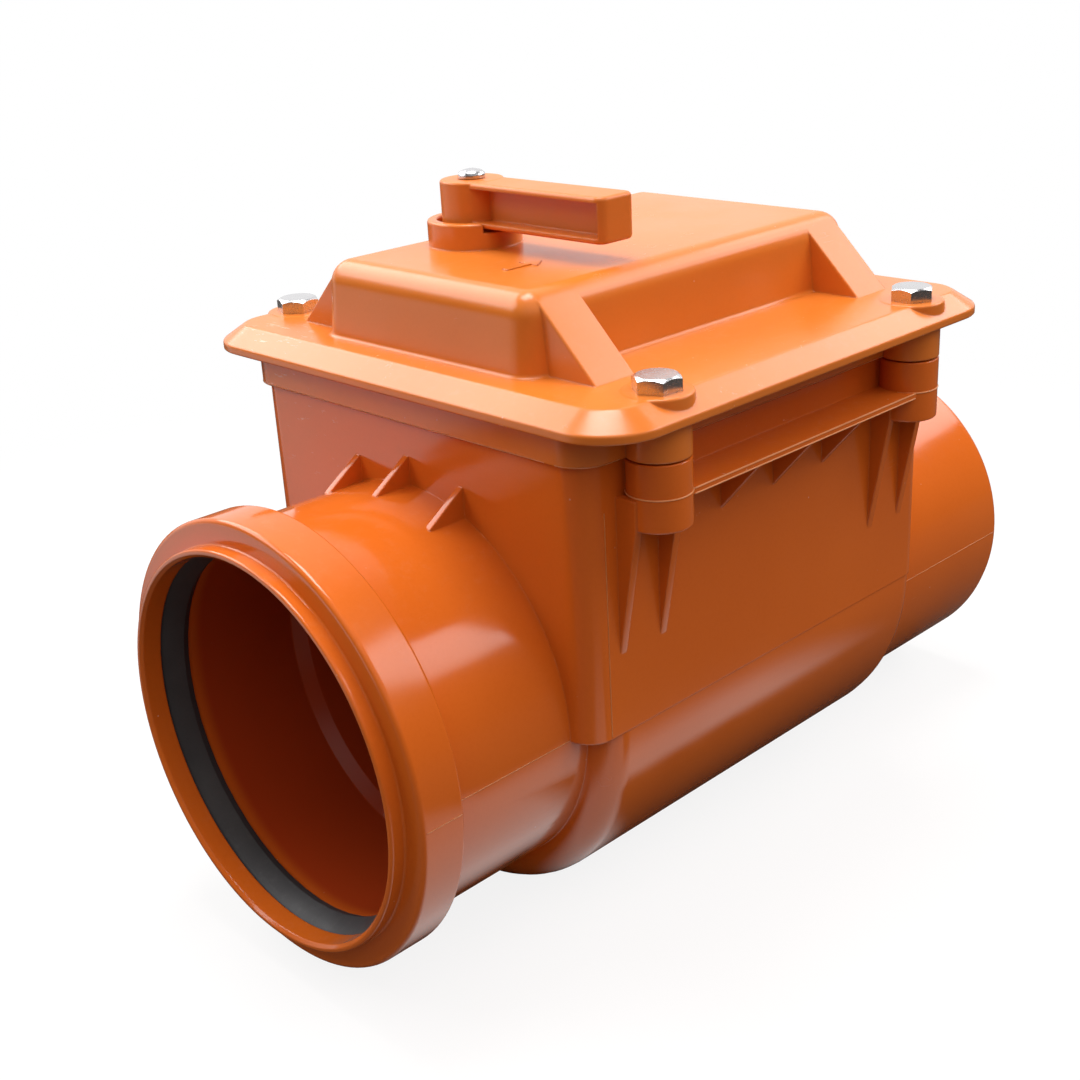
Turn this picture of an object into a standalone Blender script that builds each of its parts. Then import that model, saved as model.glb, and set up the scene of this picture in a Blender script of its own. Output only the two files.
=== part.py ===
import math

import bmesh
import bpy
from mathutils import Matrix, Vector

# Pipe and general sizes, in metres. +X is the flow, Z is up, the origin is the centre of the inlet mouth.
pipe_diameter = 0.125
pipe_wall = 0.0032
outlet_drop = 0.0147
seat_gap = 0.0003
thin_step = 0.0005
hair = 0.0001
wall = 0.004
rib_thickness = 0.0026

# Inlet socket
socket_clearance = 0.0004
socket_depth = 0.060
lip_wall = 0.0025
lip_length = 0.005
bead_length = 0.0153
bead_wall = 0.0034
bead_edge = 0.0012
groove_depth = 0.007
groove_length = 0.010
groove_inset = 0.0025
seal_lip = 0.0023
barrel_wall = 0.0047
barrel_shoulder = 0.0032
front_rib_height = 0.0096
front_rib_length = 0.0142
front_rib_pitch = 0.025
rib_root = 0.002

# Chamber
chamber_start = 0.0688
side_room = 0.0132
flap_room = 0.0580
headroom = 0.0287
chamber_corner = 0.009
parting_drop = 0.0005
parting_step = 0.0002
trough_setback = 0.0072
trough_drop = 0.003
trough_height = 0.006
trough_fillet = 0.010
inner_fillet = 0.004
rim_wall = 0.007
rim_depth = 0.009
pocket_inset = 0.0015
land_height = 0.001
spigot_length = 0.0826
spigot_chamfer = 0.003
spigot_chamfer_depth = 0.001

# Bolts, bosses and the ledge between them
bolt_diameter = 0.008
bolt_length = 0.040
bolt_across_flats = 0.013
bolt_head_height = 0.0053
bolt_hole_clearance = 0.0005
nut_height = 0.0065
boss_radius = 0.0098
boss_height = 0.0207
pad_radius = 0.0108
bolt_inset = 0.0243
bolt_outset = 0.0076
counterbore_depth = 0.0013
ledge_reach = 0.0150
ledge_thickness = 0.0021
ledge_drop = 0.0102
ledge_rib_height = 0.0169
ledge_rib_reach = 0.0146
ledge_rib_pitch = 0.0263
ledge_rib_thickness = 0.0018
fin_height = 0.0413
fin_offset = 0.009
fin_thickness = 0.003

# Lid
lid_joint = 0.0004
gasket_width = 0.0034
gasket_height = 0.0029
skirt_height = 0.011
skirt_overlap = 0.003
skirt_front_overlap = 0.002
flange_front = 0.0085
flange_side = 0.0205
flange_corner = 0.0192
flange_edge = 0.003
flange_rise = 0.0048
flange_slope = 0.008
plate_thickness = 0.004
raised_inset = 0.0085
raised_side_inset = 0.0265
raised_height = 0.0244
raised_corner = 0.0095
raised_draft = 0.0013
raised_round = 0.008
gusset_width = 0.0168
gusset_setback = 0.0073
gusset_reach = 0.0185
gusset_drop = 0.0021
strip_length = 0.034
strip_height = 0.006
strip_depth = 0.0022
collar_round = 0.0012

# Seat frame, flap and hinge
seat_tilt = math.radians(8)
seat_wall = 0.0057
seat_start = 0.0037
hinge_standoff = 0.007
frame_thickness = 0.004
frame_gasket_thickness = 0.0017
rail_thickness = 0.004
flap_seal_thickness = 0.003
flap_thickness = 0.005
flap_overhang = 0.0015
flap_rib_height = 0.003
flap_ring_radius = 0.041
flap_arm_length = 0.066
hinge_rise = 0.012
pin_diameter = 0.005
pin_clearance = 0.0003
ear_spread = 0.352
ear_thickness = 0.005
ear_gap = 0.0005
ear_radius = 0.006
ear_foot = 0.018
knuckle_radius = 0.0055
knuckle_width = 0.0055
pin_head_radius = 0.0042
pin_head_length = 0.002
clip_thickness = 0.0008
clip_radius = 0.0046
lug_reach = 0.0185
lug_length = 0.0100
lug_rise = 0.0062
lug_width = 0.014
lug_neck = 0.0072
lug_knee = 0.008
lug_foot = 0.029

# Lever, spindle and locking cam
shaft_behind_hinge = 0.0304
shaft_side_inset = 0.0247
shaft_radius = 0.006
shaft_clearance = 0.0003
spindle_flange_radius = 0.009
spindle_flange_height = 0.003
thread_hole_depth = 0.013
square_side = 0.0082
square_clearance = 0.0003
inner_boss_radius = 0.010
inner_boss_depth = 0.0133
collar_radius = 0.0158
collar_bore = 0.0124
collar_height = 0.0085
collar_low_height = 0.0054
hub_radius = 0.0107
hub_lift = 0.0027
hub_top = 0.0211
hub_floor = 0.0035
lever_length = 0.0658
lever_width = 0.0157
lever_height = 0.0145
lever_lip = 0.0018
lever_round = 0.001
lever_corner = 0.0026
lever_web = 0.004
lever_end_block = 0.0022
lever_stop_gap = 0.0005
screw_diameter = 0.005
screw_head_radius = 0.0046
screw_head_height = 0.0036
screw_head_edge = 0.0012
oring_section = 0.0018
oring_depth = 0.011
groove_clearance = 0.0003
cam_height = 0.007
cam_hub_radius = 0.009
cam_lobe_width = 0.010
cam_cover = 0.002
cam_lift = 0.0006
washer_radius = 0.008
washer_thickness = 0.0013

# Facets
large_steps = 48
small_steps = 20
corner_steps = 5

# Levels and places that follow from the sizes
socket_radius = pipe_diameter / 2 + socket_clearance
passage_radius = pipe_diameter / 2 - pipe_wall
lip_radius = socket_radius + lip_wall
groove_radius = socket_radius + groove_depth
bead_radius = groove_radius + bead_wall
barrel_radius = socket_radius + barrel_wall
bead_end = lip_length + bead_length
groove_start = lip_length + groove_inset

inner_half_width = passage_radius + side_room
half_width = inner_half_width + wall
chamber_end = chamber_start + 2 * passage_radius + flap_room
trough_start = chamber_start + trough_setback
trough_inside = trough_start + wall
rear_inside = chamber_end - wall
rim_top = passage_radius + headroom
rim_half_width = half_width - rim_wall
rim_front = chamber_start + rim_wall
rim_rear = chamber_end - rim_wall
spigot_end = chamber_end + spigot_length
land = trough_inside + land_height

bolt_front = chamber_start + bolt_inset
bolt_rear = chamber_end - bolt_inset
bolt_side = half_width + bolt_outset
bolt_places = [(x, y) for x in (bolt_front, bolt_rear) for y in (-bolt_side, bolt_side)]
boss_bottom = rim_top - boss_height
ledge_top = rim_top - ledge_drop
ledge_bottom = ledge_top - ledge_thickness
hex_radius = bolt_across_flats / 2 / math.cos(math.pi / 6)
bolt_hole_radius = bolt_diameter / 2 + bolt_hole_clearance

lid_bottom = rim_top + lid_joint
flange_bottom = lid_bottom + skirt_height
plate_top = flange_bottom + flange_edge + flange_rise
plate_bottom = plate_top - plate_thickness
lid_top = plate_top + raised_height
raised_front = chamber_start + raised_inset
raised_rear = chamber_end - raised_inset
raised_half_width = half_width - raised_side_inset
head_bottom = plate_top - counterbore_depth + seat_gap

frame_start = land + 2 * seat_gap + frame_gasket_thickness
frame_back = frame_start + frame_thickness
frame_top = rim_top - rim_depth
frame_half_width = rim_half_width - seat_gap
frame_centre = frame_half_width + seat_gap - trough_drop - inner_half_width
seat_radius = passage_radius + seat_wall
seat_top = Vector((frame_back + seat_start, 0, seat_radius))
seat_slope = Vector((math.sin(seat_tilt), 0, -math.cos(seat_tilt)))
seat_normal = Vector((math.cos(seat_tilt), 0, math.sin(seat_tilt)))
hinge = seat_top + seat_normal * hinge_standoff - seat_slope * hinge_rise
seal_front = seat_gap - hinge_standoff
disc_front = seal_front + flap_seal_thickness + seat_gap
disc_back = disc_front + flap_thickness
disc_centre = hinge_rise + seat_radius / math.cos(seat_tilt)
disc_radius = seat_radius + flap_overhang
pin_radius = pin_diameter / 2
ear_spacing = ear_spread * pipe_diameter
pin_hole_radius = pin_radius + pin_clearance
ear_outside = ear_spacing + ear_thickness
lug_side = raised_half_width - shaft_side_inset

shaft = Vector((hinge.x + shaft_behind_hinge, lug_side, lid_top))
inner_boss_bottom = -wall - inner_boss_depth
flange_top = inner_boss_bottom - seat_gap
cam_bottom = hinge.z + lug_rise + cam_lift - lid_top
cam_top = cam_bottom + cam_height
arm_bottom = hub_top - lever_height
screw_seat = hub_top + seat_gap
square_top = hub_top - hub_floor
cam_lobe_length = shaft_behind_hinge - lug_reach + lug_length - cam_cover


def clear_scene():
    for obj in list(bpy.data.objects):
        bpy.data.objects.remove(obj, do_unlink=True)


def make_material(name, colour, roughness, metallic=0.0):
    mat = bpy.data.materials.new(name)
    mat.use_nodes = True
    shader = mat.node_tree.nodes["Principled BSDF"]
    shader.inputs["Base Color"].default_value = (*colour, 1)
    shader.inputs["Roughness"].default_value = roughness
    shader.inputs["Metallic"].default_value = metallic
    mat.diffuse_color = (*colour, 1)
    return mat


def new_axis(name, location):
    axis = bpy.data.objects.new(name, None)
    axis.empty_display_size = 0.01
    axis.location = location
    bpy.context.scene.collection.objects.link(axis)
    return axis


def new_object(name, shape, mat=None, parent=None, tilt=0.0):
    """A mesh object from a bmesh drawn about the parent's place, turned about Y by tilt."""
    bmesh.ops.recalc_face_normals(shape, faces=shape.faces)
    mesh = bpy.data.meshes.new(name)
    shape.to_mesh(mesh)
    shape.free()
    obj = bpy.data.objects.new(name, mesh)
    obj.rotation_euler = (0, tilt, 0)
    obj.parent = parent
    bpy.context.scene.collection.objects.link(obj)
    if mat:
        mesh.materials.append(mat)
        mesh.shade_smooth()
        mesh.set_sharp_from_angle(angle=math.radians(35))
    return obj


def combine(target, shape, operation):
    """Adds a Boolean with a hidden tool that shares the target's place."""
    tool = new_object(f"{target.name}_tool_{len(target.modifiers) + 1}", shape)
    tool.parent = target.parent
    tool.location = target.location
    tool.rotation_euler = target.rotation_euler
    tool.hide_render = True
    tool.display_type = "WIRE"
    modifier = target.modifiers.new(f"step_{len(target.modifiers) + 1}", "BOOLEAN")
    modifier.operation = operation
    modifier.solver = "EXACT"
    modifier.object = tool


def add(target, *shapes):
    combine(target, gathered(shapes), "UNION")


def cut(target, *shapes):
    combine(target, gathered(shapes), "DIFFERENCE")


def gathered(shapes):
    """One bmesh that holds shapes which don't touch each other."""
    whole = bmesh.new()
    for shape in shapes:
        mesh = bpy.data.meshes.new("part")
        shape.to_mesh(mesh)
        shape.free()
        whole.from_mesh(mesh)
        bpy.data.meshes.remove(mesh)
    return whole


def arc(centre_a, centre_b, radius, start, end, steps):
    angles = [math.radians(start + (end - start) * i / steps) for i in range(steps + 1)]
    return [(centre_a + radius * math.cos(t), centre_b + radius * math.sin(t)) for t in angles]


def rounded_rectangle(low_a, high_a, low_b, high_b, radius):
    outline = arc(low_a + radius, low_b + radius, radius, 180, 270, corner_steps)
    outline += arc(high_a - radius, low_b + radius, radius, 270, 360, corner_steps)
    outline += arc(high_a - radius, high_b - radius, radius, 0, 90, corner_steps)
    outline += arc(low_a + radius, high_b - radius, radius, 90, 180, corner_steps)
    return outline


def rectangle(low_a, high_a, low_b, high_b):
    return [(low_a, low_b), (high_a, low_b), (high_a, high_b), (low_a, high_b)]


def at(axis, along, a, b):
    """The point at a distance along an axis, with a and b on the other two axes in X, Y, Z order."""
    return {"X": (along, a, b), "Y": (a, along, b), "Z": (a, b, along)}[axis]


def prism(outline, axis, low, high):
    shape = bmesh.new()
    face = shape.faces.new([shape.verts.new(at(axis, low, a, b)) for a, b in outline])
    side = bmesh.ops.extrude_face_region(shape, geom=[face])
    moved = [item for item in side["geom"] if isinstance(item, bmesh.types.BMVert)]
    bmesh.ops.translate(shape, verts=moved, vec=at(axis, high - low, 0, 0))
    bmesh.ops.recalc_face_normals(shape, faces=shape.faces)
    return shape


def stack(rings):
    """A closed shape through rings of equal numbers of points."""
    shape = bmesh.new()
    loops = [[shape.verts.new(point) for point in ring] for ring in rings]
    for lower, upper in zip(loops, loops[1:]):
        for i in range(len(lower)):
            j = (i + 1) % len(lower)
            shape.faces.new((lower[i], lower[j], upper[j], upper[i]))
    shape.faces.new(loops[0])
    shape.faces.new(loops[-1])
    bmesh.ops.recalc_face_normals(shape, faces=shape.faces)
    return shape


def lathe(profile, axis, centre=(0, 0, 0), steps=small_steps, turn=0.0):
    """Spins a closed profile of (distance along the axis, radius) about an axis through centre."""
    shape = bmesh.new()
    other = {"X": "Z", "Y": "Z", "Z": "X"}[axis]
    direction = Vector(at(axis, 1, 0, 0))
    outward = Vector(at(other, 1, 0, 0))
    outward.rotate(Matrix.Rotation(turn, 3, direction))
    middle = Vector(centre)
    points = [shape.verts.new(middle + direction * t + outward * r) for t, r in profile]
    edges = [shape.edges.new((points[i], points[(i + 1) % len(points)])) for i in range(len(points))]
    bmesh.ops.spin(shape, geom=points + edges, cent=middle, axis=direction, angle=math.tau, steps=steps)
    bmesh.ops.remove_doubles(shape, verts=shape.verts, dist=1e-6)
    bmesh.ops.dissolve_degenerate(shape, edges=shape.edges, dist=1e-7)
    loose = [edge for edge in shape.edges if not edge.link_faces]
    bmesh.ops.delete(shape, geom=loose, context="EDGES")
    bmesh.ops.dissolve_limit(shape, angle_limit=math.radians(0.1), verts=shape.verts, edges=shape.edges)
    bmesh.ops.recalc_face_normals(shape, faces=shape.faces)
    return shape


def rod(axis, centre, radius, low, high, steps=small_steps, turn=0.0):
    return lathe([(low, 0), (low, radius), (high, radius), (high, 0)], axis, centre, steps, turn)


def ring(axis, centre, inner, outer, low, high, steps=small_steps):
    return lathe([(low, inner), (low, outer), (high, outer), (high, inner)], axis, centre, steps)


def upright(x, y):
    return (x, y, 0)


def trough(low, high, half, top, fillet):
    """A U-shaped prism along the flow, with its ends rounded below its flat top."""
    outline = arc(0, -trough_drop, half, 180, 360, large_steps // 2)
    outline += [(half, top), (-half, top)]
    shape = prism(outline, "X", low, high)
    ends = []
    for edge in shape.edges:
        a, b = (vert.co for vert in edge.verts)
        across = abs(a.x - b.x) < 1e-6
        topmost = min(a.z, b.z) > top - 1e-6
        if across and not topmost:
            ends.append(edge)
    bmesh.ops.bevel(shape, geom=ends, offset=fillet, segments=4, profile=0.5, affect="EDGES")
    return shape


def softened(shape, radius, segments=2):
    """The shape with every sharp edge rounded."""
    sharp = [edge for edge in shape.edges if edge.calc_face_angle(0) > math.radians(40)]
    bmesh.ops.bevel(shape, geom=sharp, offset=radius, segments=segments, profile=0.5, affect="EDGES")
    return shape


def loop_stack(rings):
    """A closed ring-shaped body through rings of equal numbers of points, back to the first."""
    shape = bmesh.new()
    loops = [[shape.verts.new(point) for point in ring] for ring in rings]
    for lower, upper in zip(loops, loops[1:] + loops[:1]):
        for i in range(len(lower)):
            j = (i + 1) % len(lower)
            shape.faces.new((lower[i], lower[j], upper[j], upper[i]))
    bmesh.ops.recalc_face_normals(shape, faces=shape.faces)
    return shape


def level(outline, height):
    return [(a, b, height) for a, b in outline]


def chamber_rectangle(front, side, radius):
    """A rounded outline in plan, measured outwards from the chamber's walls."""
    return rounded_rectangle(
        chamber_start - front, chamber_end + front, -half_width - side, half_width + side, radius
    )


def both_sides(make):
    return [make(side) for side in (-1, 1)]


def body_outside(body):
    end = chamber_end - parting_step
    add(body, trough(trough_start, end, half_width - parting_step, trough_height, trough_fillet))
    add(body, *[
        rod("Z", (x, y, 0), boss_radius, boss_bottom, rim_top - hair, large_steps // 2)
        for x, y in bolt_places
    ])

    def ledge(side):
        low, high = sorted((side * (half_width - rib_root), side * (half_width + ledge_reach)))
        return prism(rectangle(bolt_front, bolt_rear, low, high), "Z", ledge_bottom, ledge_top)

    add(body, *both_sides(ledge))
    add(body, *[ledge_rib(side, place) for side in (-1, 1) for place in (-1, 0, 1)])
    add(body, *[fin(x, y, side) for x, y in bolt_places for side in (-1, 1)])
    add(body, *[front_rib(place * front_rib_pitch) for place in (-1, 0, 1)])


def ledge_rib(side, place):
    x = (chamber_start + chamber_end) / 2 + place * ledge_rib_pitch
    root = side * (half_width - rib_root)
    tip = side * (half_width + ledge_rib_reach)
    top = ledge_bottom + land_height
    foot = ledge_bottom - ledge_rib_height
    outline = [
        (root, top), (tip, top), (tip, ledge_bottom - seat_gap), (side * half_width, foot), (root, foot),
    ]
    return prism(outline, "X", x - ledge_rib_thickness / 2, x + ledge_rib_thickness / 2)


def fin(x, y, place):
    """A web from the wall to the side of a boss, which runs on below it and tapers into the wall."""
    side = math.copysign(1, y)
    middle = x + place * fin_offset
    root = side * (half_width - rib_root)
    top = ledge_bottom + land_height
    foot = boss_bottom - fin_height
    outline = [(root, top), (y, top), (y, boss_bottom), (side * half_width, foot), (root, foot)]
    return prism(outline, "X", middle - fin_thickness / 2, middle + fin_thickness / 2)


def front_rib(y):
    surface = math.sqrt(barrel_radius**2 - y**2)
    wall_x = chamber_start + rib_root
    foot = chamber_start - front_rib_length
    root = surface - rib_root
    peak = surface + front_rib_height
    outline = [(foot, root), (wall_x, root), (wall_x, peak), (chamber_start, peak), (foot, surface)]
    return prism(outline, "Y", y - rib_thickness / 2, y + rib_thickness / 2)


def body_inside(body):
    cut(body, trough(trough_inside, rear_inside, inner_half_width, frame_top, inner_fillet))
    pocket_half = inner_half_width - pocket_inset
    pocket = rectangle(-pocket_half, pocket_half, wall, frame_top - land_height)
    cut(body, prism(pocket, "X", chamber_start + wall, trough_inside + wall))
    opening = rounded_rectangle(rim_front, rim_rear, -rim_half_width, rim_half_width, inner_fillet)
    cut(body, prism(opening, "Z", rim_top - 2 * rim_depth, rim_top + wall))

    def rail(side):
        low, high = sorted((side * (frame_half_width - rail_thickness), side * (inner_half_width + rib_root)))
        start = frame_back + seat_gap
        outline = rectangle(start, start + rail_thickness, low, high)
        return prism(outline, "Z", -trough_drop, frame_top - wall)

    add(body, *both_sides(rail))


def body_pipes(body):
    add(body, lathe([
        (0, 0), (0, lip_radius), (lip_length, lip_radius), (lip_length, bead_radius - bead_edge),
        (lip_length + bead_edge, bead_radius), (bead_end, bead_radius),
        (bead_end + barrel_shoulder, barrel_radius), (land, barrel_radius), (land, 0),
    ], "X", steps=large_steps))
    outlet = (0, 0, -outlet_drop)
    pipe_radius = pipe_diameter / 2
    start = rear_inside + land_height
    add(body, lathe([
        (start, 0), (start, pipe_radius), (spigot_end - spigot_chamfer, pipe_radius),
        (spigot_end, pipe_radius - spigot_chamfer_depth), (spigot_end, 0),
    ], "X", outlet, large_steps))
    groove_end = groove_start + groove_length
    cut(body, lathe([
        (-land_height, 0), (-land_height, socket_radius + 2 * land_height), (land_height, socket_radius),
        (groove_start, socket_radius), (groove_start, groove_radius), (groove_end, groove_radius),
        (groove_end, socket_radius), (socket_depth, socket_radius), (socket_depth + wall, passage_radius),
        (land + land_height, passage_radius), (land + land_height, 0),
    ], "X", steps=large_steps))
    cut(body, rod("X", outlet, passage_radius, rear_inside - wall, spigot_end + wall, large_steps))


def body_fixings(body):
    middle = (half_width + rim_half_width) / 2
    shift = half_width - middle
    half = gasket_width / 2 + seat_gap
    outer = chamber_rectangle(half - shift, half - shift, chamber_corner - shift + half)
    inner = chamber_rectangle(-half - shift, -half - shift, chamber_corner - shift - half)
    bottom = rim_top - gasket_height
    top = rim_top + land_height
    cut(body, loop_stack([level(outer, bottom), level(outer, top), level(inner, top), level(inner, bottom)]))
    pocket_top = boss_bottom + nut_height + 2 * seat_gap
    cut(body, *[
        rod("Z", (x, y, 0), bolt_hole_radius, boss_bottom + rib_root, rim_top + wall) for x, y in bolt_places
    ])
    cut(body, *[
        rod("Z", (x, y, 0), hex_radius + seat_gap, boss_bottom - land_height, pocket_top, 6, math.pi / 6)
        for x, y in bolt_places
    ])


def make_body(mat):
    box = prism(chamber_rectangle(0, 0, chamber_corner), "Z", -parting_drop, rim_top)
    body = new_object("valve_body", box, mat)
    body_outside(body)
    body_inside(body)
    body_pipes(body)
    body_fixings(body)


def make_socket_seal(mat):
    inner = socket_radius - seal_lip
    start = groove_start + seat_gap
    end = groove_start + groove_length - seat_gap
    outer = groove_radius - seat_gap
    new_object("socket_seal", lathe([
        (start, outer), (start, socket_radius + land_height), (start + seal_lip, socket_radius - land_height),
        (end - seal_lip, inner), (end, inner + land_height), (end, outer),
    ], "X", steps=large_steps), mat)


def make_lid_gasket(mat):
    shift = (half_width - rim_half_width) / 2
    half = gasket_width / 2
    outer = chamber_rectangle(half - shift, half - shift, chamber_corner - shift + half)
    inner = chamber_rectangle(-half - shift, -half - shift, chamber_corner - shift - half)
    bottom = rim_top - gasket_height + seat_gap
    top = lid_bottom - seat_gap
    rings = [level(outer, bottom), level(outer, top), level(inner, top), level(inner, bottom)]
    new_object("lid_gasket", loop_stack(rings), mat)


def make_frame(mat):
    outline = arc(0, frame_centre, frame_half_width, 180, 360, large_steps // 2)
    outline += [(frame_half_width, frame_top), (-frame_half_width, frame_top)]
    frame = new_object("flap_frame", prism(outline, "X", frame_start, frame_back), mat)
    reach = hinge_rise + 2 * seat_radius
    add(frame, rod("X", (0, 0, 0), seat_radius, frame_start + land_height, frame_back + reach, large_steps))
    beyond = [seat_top - seat_slope * wall, seat_top + seat_slope * 2 * reach]
    beyond += [beyond[1] + seat_normal * reach, beyond[0] + seat_normal * reach]
    cut(frame, prism([(p.x, p.z) for p in beyond], "Y", -half_width, half_width))
    cut(frame, rod("X", (0, 0, 0), passage_radius, frame_start - wall, frame_back + reach, large_steps))

    def ear(side):
        low, high = sorted((side * ear_spacing, side * ear_outside))
        root = frame_back - rib_root
        rounded = arc(hinge.x, hinge.z, ear_radius, -60, 90, 3 * corner_steps)
        base = frame_top - land_height
        foot = base - ear_foot
        return prism([(root, foot)] + rounded + [(root, base)], "Y", low, high)

    add(frame, *both_sides(ear))
    cut(frame, rod("Y", (hinge.x, 0, hinge.z), pin_hole_radius, -half_width, half_width))


def make_frame_gasket(mat):
    start = land + seat_gap
    end = start + frame_gasket_thickness
    inner = passage_radius + land_height
    outer = barrel_radius - land_height
    new_object("frame_gasket", ring("X", (0, 0, 0), inner, outer, start, end, large_steps), mat)


def to_flap(x, z):
    """A point seen from the hinge, in the leaning flap's own directions."""
    across = x * math.cos(seat_tilt) + z * math.sin(seat_tilt)
    return across, z * math.cos(seat_tilt) - x * math.sin(seat_tilt)


def make_flap(mat, axis):
    centre = (0, 0, -disc_centre)
    disc = rod("X", centre, disc_radius, disc_front, disc_back, large_steps)
    flap = new_object("flap", disc, mat, axis, -seat_tilt)
    root = disc_front + thin_step
    back = disc_back + flap_rib_height
    outer = flap_ring_radius + rib_thickness
    low = disc_back - land_height
    add(flap, ring("X", centre, flap_ring_radius, outer, low, back - thin_step, large_steps))

    def arm(side):
        outer = ear_spacing - ear_gap
        low, high = sorted((side * outer, side * (outer - knuckle_width)))
        outline = arc(0, 0, knuckle_radius, -10, 190, 3 * corner_steps)
        outline += [
            (root, -hinge_rise - thin_step), (root, -flap_arm_length), (disc_back, -flap_arm_length - wall),
            (back, -flap_arm_length), (back, -hinge_rise),
        ]
        return prism(outline, "Y", low, high)

    add(flap, *both_sides(arm))
    lug = [
        (root, -2 * hinge_rise), (root, -lug_foot), (disc_back, -lug_foot - wall),
        (back + land_height, -lug_foot + wall), (lug_neck, -lug_foot + 2 * wall), (lug_neck, -lug_knee),
        to_flap(lug_reach, -rib_root),
        to_flap(lug_reach, lug_rise), to_flap(lug_reach - lug_length, lug_rise),
    ]
    add(flap, prism(lug, "Y", lug_side - lug_width / 2, lug_side + lug_width / 2))
    cut(flap, rod("Y", (0, 0, 0), pin_hole_radius, -half_width, half_width))


def make_flap_seal(mat, axis):
    inner = passage_radius - thin_step
    outer = disc_radius - land_height
    end = seal_front + flap_seal_thickness
    shape = ring("X", (0, 0, -disc_centre), inner, outer, seal_front, end, large_steps)
    new_object("flap_seal", shape, mat, axis, -seat_tilt)


def make_hinge_pin(steel):
    outside = ear_outside + seat_gap
    groove = pin_radius - thin_step
    clip_end = outside + clip_thickness + 2 * seat_gap
    head_end = -outside - pin_head_length
    tail_end = clip_end + pin_head_length
    pin = [
        (head_end, 0), (head_end, pin_head_radius), (-outside, pin_head_radius), (-outside, pin_radius),
        (outside, pin_radius), (outside, groove), (clip_end, groove), (clip_end, pin_radius),
        (tail_end - land_height, pin_radius), (tail_end, groove), (tail_end, 0),
    ]
    centre = (hinge.x, 0, hinge.z)
    new_object("hinge_pin", lathe(pin, "Y", centre), steel)
    start = outside + seat_gap
    clip_shape = ring("Y", centre, groove + seat_gap, clip_radius, start, start + clip_thickness)
    clip = new_object("hinge_clip", clip_shape, steel)
    slot = rectangle(hinge.x - groove, hinge.x + groove, hinge.z - 2 * clip_radius, hinge.z)
    cut(clip, prism(slot, "Y", outside - wall, outside + wall))


def raised_outline(inset, draft):
    """The raised box in plan, an inset in from its foot and drawn in again by its draft."""
    total = inset + draft
    return rounded_rectangle(
        raised_front + total, raised_rear - total, total - raised_half_width, raised_half_width - total,
        max(raised_corner - total, thin_step),
    )


def lid_outside(lid):
    skirt = chamber_rectangle(skirt_front_overlap, skirt_overlap, chamber_corner + skirt_front_overlap)
    add(lid, prism(skirt, "Z", lid_bottom, flange_bottom + land_height))
    shoulder = lid_top - raised_round
    rings = [
        level(raised_outline(0, 0), plate_top - land_height), level(raised_outline(0, 0), plate_top),
        level(raised_outline(0, raised_draft), shoulder),
    ]
    for i in range(1, corner_steps + 1):
        turn = math.pi / 2 * i / corner_steps
        inset = raised_round * (1 - math.cos(turn))
        rings.append(level(raised_outline(inset, raised_draft), shoulder + raised_round * math.sin(turn)))
    add(lid, stack(rings))
    add(lid, *[gusset(x, side) for x in gusset_places() for side in (-1, 1)])
    steps = large_steps // 2
    add(lid, *[
        rod("Z", (x, y, 0), boss_radius, lid_bottom + hair, flange_bottom + land_height, steps)
        for x, y in bolt_places
    ])
    add(lid, *[
        rod("Z", (x, y, 0), pad_radius, flange_bottom + thin_step, plate_top + 2 * hair, steps)
        for x, y in bolt_places
    ])
    for x, direction in ((bolt_front, 1), (bolt_rear, -1)):
        add(lid, *both_sides(lambda side: strip(x, direction, side)))


def gusset_places():
    front = raised_front + gusset_setback
    rear = raised_rear - gusset_setback - gusset_width
    return front, rear


def gusset(x, side):
    root = side * (raised_half_width - wall)
    foot = side * (raised_half_width + gusset_reach)
    base = plate_top - land_height
    outline = [(root, base), (root, lid_top - gusset_drop), (foot, plate_top), (foot, base)]
    return prism(outline, "X", x, x + gusset_width)


def strip(x, direction, side):
    low, high = sorted((x, x + direction * strip_length))
    inner, outer = sorted((side * half_width, side * (half_width + skirt_overlap + strip_depth)))
    outline = rectangle(low, high, inner, outer)
    return prism(outline, "Z", flange_bottom - strip_height, flange_bottom + land_height)


def lid_collar(lid):
    upper = lid_top + collar_height
    profile = [
        (lid_top - land_height, collar_bore), (lid_top - land_height, collar_radius),
        (upper - collar_round, collar_radius), (upper, collar_radius - collar_round), (upper, collar_bore),
    ]
    add(lid, lathe(profile, "Z", upright(shaft.x, shaft.y), 2 * small_steps))
    stop = lever_width / 2 + lever_stop_gap
    reach = 2 * collar_radius
    sector = rectangle(shaft.x - stop, shaft.x + reach, shaft.y - reach, shaft.y + stop)
    cut(lid, prism(sector, "Z", lid_top + collar_low_height, upper + wall))


def lid_inside(lid):
    opening = rounded_rectangle(rim_front, rim_rear, -rim_half_width, rim_half_width, inner_fillet)
    cut(lid, prism(opening, "Z", lid_bottom - wall, plate_bottom))
    foot = raised_outline(wall, 0)
    peak = raised_outline(wall, raised_draft)
    rings = [level(foot, plate_bottom - wall), level(foot, plate_bottom + wall), level(peak, lid_top - wall)]
    cut(lid, stack(rings))
    centre = upright(shaft.x, shaft.y)
    add(lid, rod("Z", centre, inner_boss_radius, lid_top + inner_boss_bottom, lid_top - wall / 2))
    cut(lid, rod("Z", centre, shaft_radius + shaft_clearance, plate_bottom, lid_top + wall))
    cut(lid, *[rod("Z", (x, y, 0), bolt_hole_radius, lid_bottom - wall, plate_top) for x, y in bolt_places])
    seat = plate_top - counterbore_depth
    cut(lid, *[rod("Z", (x, y, 0), hex_radius + thin_step, seat, plate_top + wall) for x, y in bolt_places])


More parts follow.
